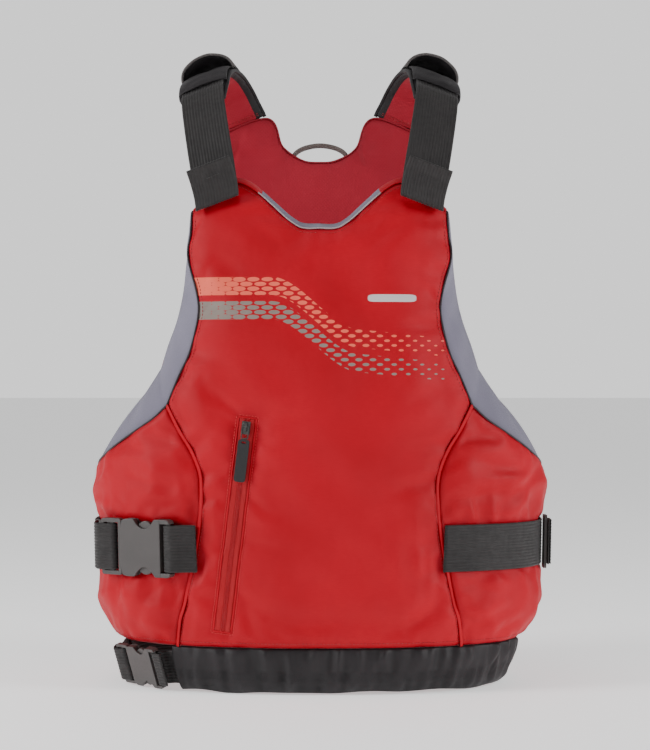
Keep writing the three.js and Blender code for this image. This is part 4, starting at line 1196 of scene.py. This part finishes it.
def buckle_prong(word, belt, half, tag):
    """A springy prong with the curved thumb pad that fills the case's cutout."""
    line = [(-32.8, 13), (-16, 16.5), (-13.2, 20.5)] + arc_points((-12.6, 22), (-1, 36.5), (10.6, 22))
    line += [(11, 17), (11, 13), (-10, 11), (-32.8, 9)]
    buckle_piece(f"{word}_prong_{tag}_pad", belt, [extruded([(x, half * y) for x, y in line[::half]], *PRONG_SPAN)],
                 f"{word}_prong_{tag}", f"{word}_buckle_prong_{tag}", 0.0008)


for word, belt in (("waist", WAIST), ("lower", LOWER)):
    buckle_case(word, belt)
    buckle_prong(word, belt, 1, "upper")
    buckle_prong(word, belt, -1, "lower")
for name in ("waist_buckle_male", "lower_buckle_male", "side_adjuster"):
    refinished(name, buckle_plastic, 0.0009, 3, 35, shaded=True)

# The side adjuster's webbing, threaded through and folded back on itself: how far along and how far out.
ADJUSTER_PATH = [(-17, 4.4), (-8, 4.6), (4, 4.6), (11, 4.7), (13.4, 5.4), (14.1, 6.5), (13.2, 7.6), (10, 8.0),
                 (0, 7.6), (-9, 7.4)]
up = unit(torso(SIDE_ADJUSTER, waist_z + 15) - torso(SIDE_ADJUSTER, waist_z - 15))
out = unit(-np.cross([0, -1, 0], up))
forward = unit(np.cross(up, out))
origin = torso(SIDE_ADJUSTER, waist_z, -outer_layer)
strap("side_adjuster_belt", [[*(origin + forward * x + out * h), *up] for x, h in ADJUSTER_PATH], WAIST["width"],
      "side_adjust", "side_adjuster_webbing", thickness=1.9, step=1.0)


# ---------------------------------------------------------------- waistband

BAND_HEIGHT = HEM - CLEARANCE
SQUARENESS = 0.42


def waistband(name, start, finish, replaced, seed, columns=190, around=40):
    """A gathered fabric tunnel round the lower belt, open at both ends."""
    out, up = (np.sign(wave) * np.abs(wave) ** SQUARENESS * 0.5 + 0.5 for wave in circle(around))
    angle = np.linspace(start, finish, columns + 1)[:, None]

    def skin(shrink):
        z = shrink + up * (BAND_HEIGHT - 2 * shrink) + 0 * angle
        depth = TUNNEL_DEPTH - shrink - out * (TUNNEL_DEPTH - 2 * shrink) + 0 * angle
        base = torso(angle, z, depth)
        gathers = 0.7 * waves(base, 15, seed, stretch=(1, 1, 4.5)) + folds(base, 44, seed + 1, (1, 1, 2.2))
        swell = 2.2 * np.sin(np.pi * np.clip(z / BAND_HEIGHT, 0, 1)) ** 0.6
        droop = np.clip(waves(base, 60, seed + 2, stretch=(1, 1, 4)), -1, 1) * 1.6 + 1.6
        z = z + droop * np.clip(1 - z / 16, 0, 1)
        return torso(angle, z, depth - out ** 2 * (2.0 * gathers * np.clip(z / 8, 0.3, 1) + swell)), gathers
    (outer, gathers), (inner, _) = skin(0.0), skin(1.3)
    sides, shift = outer.shape[1], outer.shape[0] * outer.shape[1]
    points, faces = joined([loft(outer, capped=False), loft(inner, capped=False)])
    faces[len(faces) // 2:] = [face[::-1] for face in faces[len(faces) // 2:]]
    for a in (0, columns * sides):
        faces += [[a + i, a + (i + 1) % sides, shift + a + (i + 1) % sides, shift + a + i] for i in range(sides)]
    # Painted shade in the hollows of the gathers.
    obj = piece(name, points, faces, [black_cloth], "jacket", uv=np.concatenate([ring_uv(outer), ring_uv(inner)]),
                shade_marks=np.concatenate([np.clip(-gathers, 0, 1).reshape(-1)] * 2), slot="cloth_black",
                replaced=[replaced])


back_start = float(angle_at(150, lower_z, back=True))
waistband("front_waistband_cloth", -float(angle_at(156, lower_z)), math.radians(84), "front_waistband", 71)
waistband("back_waistband_cloth", back_start, 2 * math.pi - back_start, "back_waistband", 83)


# ---------------------------------------------------------------- shoulders

LEAN = np.array([math.cos(SHOULDER_LEAN), 0, -math.sin(SHOULDER_LEAN)])
PAD_TOP, PAD_UNDERSIDE = 4.6, 5.4  # how far the pad's faces stand from its bound edge
PAD_COLUMNS = 28
LINED_SHARE = 0.37                # how far the red lining reaches from the middle of the underside


def centripetal(points, ts):
    """The curve that the CAD pad follows, at parameters from 0 to 1."""
    pts = np.array(points, float)
    last = len(pts) - 1
    padded = np.concatenate([[2 * pts[0] - pts[1]], pts, [2 * pts[-1] - pts[-2]]])
    result = []
    for t in ts:
        i = min(int(t * last), last - 1)
        a, b, c, d = padded[i:i + 4]
        da, db, dc = (max(np.sum((q - p) ** 2) ** 0.25, 1e-4) for p, q in ((a, b), (b, c), (c, d)))
        leaving = ((b - a) / da - (c - a) / (da + db) + (c - b) / db) * db
        arriving = ((c - b) / db - (d - b) / (db + dc) + (d - c) / dc) * db
        result.append(hermite(t * last - i, b, c, leaving, arriving))
    return np.array(result)


def leaning(points):
    return np.concatenate([points, np.repeat(LEAN[None], len(points), 0)], 1)


def pad_path(start, finish, count):
    ts = np.linspace(start, finish, count + 1)
    return ts, leaning(centripetal(PAD_LINE, ts))


def to_side(points, side):
    """Points, or points with directions, of the wearer's left, on the side they are for."""
    points = np.asarray(points, float)
    return points * ([side, 1, 1] * (points.shape[-1] // 3))


def shoulder_pad(word, side):
    """The pad's black top and red underside between bound edges, crowned like a sewn cushion."""
    ts, path = pad_path(0, 1, 60)
    # The root runs on into the back pad, in three more stations.
    root = path[0] + (path[0] - path[4]) * np.array([1.2, 0.2, 1.2, 0, 0, 0])
    path = np.concatenate([[root, root * 0.7 + path[0] * 0.3, root * 0.35 + path[0] * 0.65], path])
    ts = np.concatenate([[0, 0, 0], ts])
    points, across, up = frames(path)
    half = pad_width(ts) / 2
    s = np.linspace(-1, 1, PAD_COLUMNS + 1)
    crown = np.sqrt(np.clip(1 - np.abs(s) ** 3.2, 0, 1))
    end = np.sqrt(np.maximum(1 - np.maximum(2 * ts - 1, 0) ** 16, 0.04))[:, None]
    wide = s * half[:, None]
    wrinkle = 0.35 * waves(swept(points, across, up, wide, 0 * wide), 26, 5 + (side > 0))
    top = (PAD_TOP * crown + wrinkle * crown) * end - PAD_TOP
    low = -(PAD_UNDERSIDE * crown + wrinkle * crown) * end - PAD_TOP
    ring_top, ring_low = (swept(points, across, up, wide, height) for height in (top, low))
    rings = to_side(np.concatenate([ring_top, ring_low[:, ::-1][:, 1:-1]], 1), side)
    verts, faces = loft(rings)
    across_ring = (np.arange(rings.shape[1]) + 0.5) / PAD_COLUMNS      # the top is 0 to 1 and the underside 1 to 2
    lined = (across_ring > 1) & (np.abs(across_ring - 1.5) <= LINED_SHARE)
    kinds = [*np.tile(lined, len(ts) - 1), False, False]
    obj = piece(f"{word}_shoulder_pad", verts, faces, [black_cloth, lining], "jacket", kinds, ring_uv(rings),
                slot="cloth_black", replaced=[f"{word}_shoulder_{layer}" for layer in ("cover", "foam", "lining")])
    rounded(obj)
    for sign, tag in ((-1, "inner"), (1, "outer")):
        rim = points + across * sign * (half - 0.6)[:, None] - up * PAD_TOP
        tube(f"{word}_pad_binding_{tag}", to_side(rim, side), 2.4, black_cloth, "cloth_black")


def arch_sheet(name, side, start, finish, half_span, heights, wall, power, replaced, edged=False):
    """A cloth arch that stands on the pad, open at both ends; heights give its rise at each end."""
    ts, path = pad_path(start, finish, 26)
    points, across, up = frames(path)
    a = np.linspace(0, math.pi, 25)
    rise = heights[0] + (heights[1] - heights[0]) * np.linspace(0, 1, len(ts))[:, None] ** power
    wrinkle = waves(swept(points, across, up, np.cos(a) * half_span, 0 * a), 22, 9 + (side > 0))
    crease = 0.5 * wrinkle * np.sin(a)

    def skin(within):
        height = CLEARANCE + np.sin(a) ** 0.85 * (rise + crease - within)
        return swept(points, across, up, -np.cos(a) * (half_span - within), height)
    high, low = skin(0.0), skin(wall)[:, ::-1]
    obj = lofted(name, to_side(np.concatenate([high, low], 1), side), black_cloth, slot="cloth_black",
                 replaced=[replaced])
    if edged:
        tube(f"{name}_lip", to_side((high[-1] + low[-1][::-1]) / 2, side), wall * 0.8, hood_edge, "cloth_black",
             step=2)


def turn_round(start, towards, ahead, steps=10):
    return [start + towards - towards * math.cos(a) + ahead * math.sin(a)
            for a in np.linspace(0, math.pi, steps + 1)[1:]]


for word, side in SIDES[::-1]:
    shoulder_pad(word, side)
    arch_sheet(f"{word}_webbing_sleeve", side, 0.6, 0.86, 29, (5.4, 5.4), 1.5, 1, f"{word}_shoulder_sleeve")
    arch_sheet(f"{word}_pad_hood", side, 0.3, 0.58, 32, (6.5, 25.5), 2.0, 1.5, f"{word}_shoulder_hood", True)
    points, _, up = frames(pad_path(0.36, 0.88, 10)[1])
    hang = np.array(STRAP_LINE, float)
    fold = turn_round(hang[-1], np.array([0, -FOLD_RADIUS, 0]), np.array([0, 0, -FOLD_RADIUS]))
    line = np.concatenate([points + up * (0.5 + WEBBING / 2), hang, fold, STRAP_TAIL])
    strap(f"{word}_shoulder_webbing", to_side(leaning(line), side), SHOULDER_WIDTH, "jacket",
          f"{word}_shoulder_strap", step=1.8)
    under = hang - frames(leaning(hang))[2] * (WEBBING + CLEARANCE)
    strap(f"{word}_anchor_webbing", to_side(leaning(under)[2:], side), SHOULDER_WIDTH - 5, "jacket",
          f"{word}_strap_anchor")

bars, roots = [], []
for side in (1, -1):
    middle, out = np.array(STRAP_TAIL[1]) + [0, -1.5, 0], np.array([0.05, -0.97, 0.2])
    bars.append(to_side([[*(middle + LEAN * k), *out] for k in np.linspace(-9, 9, 8)], side))
    ts, path = pad_path(0, 0.2, 20)
    points, across, up = frames(path)
    for k in (0, 2):
        reach = float(pad_width(ts[k])) / 2 - 6
        roots.append(to_side([[*(points[k] + across[k] * q - up[k] * 10.6), *(-up[k])]
                              for q in np.linspace(-reach, reach, 16)], side))
stitches("shoulder_bar_stitching", bars, black_thread, "webbing", length=2.0, gap=0.6, radius=0.4)
stitches("pad_root_stitching", roots, red_thread, "lining_red")

haul = [(x, HAUL_Y, z) for x, z in HAUL_LOOP]
haul += [(-x, y, z) for x, y, z in haul[:-1]][::-1]
strap("haul_loop_tape", [[*p, 0, 1, 0] for p in haul], 18, "haul_handle", "haul_loop", thickness=4.4, pitch=3.0,
      step=1.5, material=loop_tape, slot="loop_taupe")


# ---------------------------------------------------------------- floor, light and camera

FLOOR_REACH, FLOOR_LEVEL = 30, -0.0005
SKY = (0.6, 0.97, 0.2, 1.15)      # from and to how far back it brightens, and its strengths there
FOCAL_PIXELS, LONG_SIDE, SENSOR = 2149.5, 750, 36


def placed(name, data, place, turn=(0, 0, 0)):
    obj = bpy.data.objects.new(name, data)
    obj.location, obj.rotation_euler = place, turn
    bpy.context.scene.collection.objects.link(obj)
    return obj


floor_mesh = bpy.data.meshes.new("floor")
corners = [(x * FLOOR_REACH, y * FLOOR_REACH, 0) for x, y in ((-1, -1), (1, -1), (1, 1), (-1, 1))]
floor_mesh.from_pydata(corners, [], [(0, 1, 2, 3)])
pale = bpy.data.materials.new("pale_floor")
pale.use_nodes = True
for key, value in (("Base Color", (0.93, 0.93, 0.93, 1)), ("Roughness", 0.9), ("Emission Color", (1, 1, 1, 1)),
                   ("Emission Strength", 0.62)):
    pale.node_tree.nodes["Principled BSDF"].inputs[key].default_value = value
floor_mesh.materials.append(pale)
placed("floor", floor_mesh, (0, 0, FLOOR_LEVEL))

world_light = bpy.data.worlds.new("studio")
bpy.context.scene.world = world_light
world_light.use_nodes = True
sky = world_light.node_tree
background = sky.nodes["Background"].inputs
background["Color"].default_value = (1, 1, 1, 1)
heading, parts, glow = (sky.nodes.new(f"ShaderNode{kind}") for kind in ("TexCoord", "SeparateXYZ", "MapRange"))
for socket, number in zip(list(glow.inputs)[1:], SKY):
    socket.default_value = number
sky.links.new(heading.outputs["Generated"], parts.inputs[0])
sky.links.new(parts.outputs["Y"], glow.inputs["Value"])
sky.links.new(glow.outputs[0], background["Strength"])

for name, place, target, size, energy in (
        ("left_softbox", (-2.3, -0.9, 1.2), (0, 0, 0.35), (0.8, 1.4), 50),
        ("right_softbox", (2.3, -0.9, 1.0), (0, 0, 0.35), (0.8, 1.4), 40),
        ("top_softbox", (-0.4, -0.5, 2.6), (0, 0, 0.3), (1.2, 0.8), 9)):
    lamp = bpy.data.lights.new(name, "AREA")
    lamp.shape = "RECTANGLE"
    lamp.size, lamp.size_y = size
    lamp.energy = energy
    placed(name, lamp, place, (Vector(target) - Vector(place)).to_track_quat("-Z", "Y").to_euler())

lens = bpy.data.cameras.new("camera")
lens.sensor_fit = "AUTO"
lens.sensor_width = SENSOR
lens.lens = FOCAL_PIXELS / LONG_SIDE * SENSOR
bpy.context.scene.camera = placed("camera", lens, (0.0059, -2.44725, 0.345), (math.pi / 2, 0, 0))
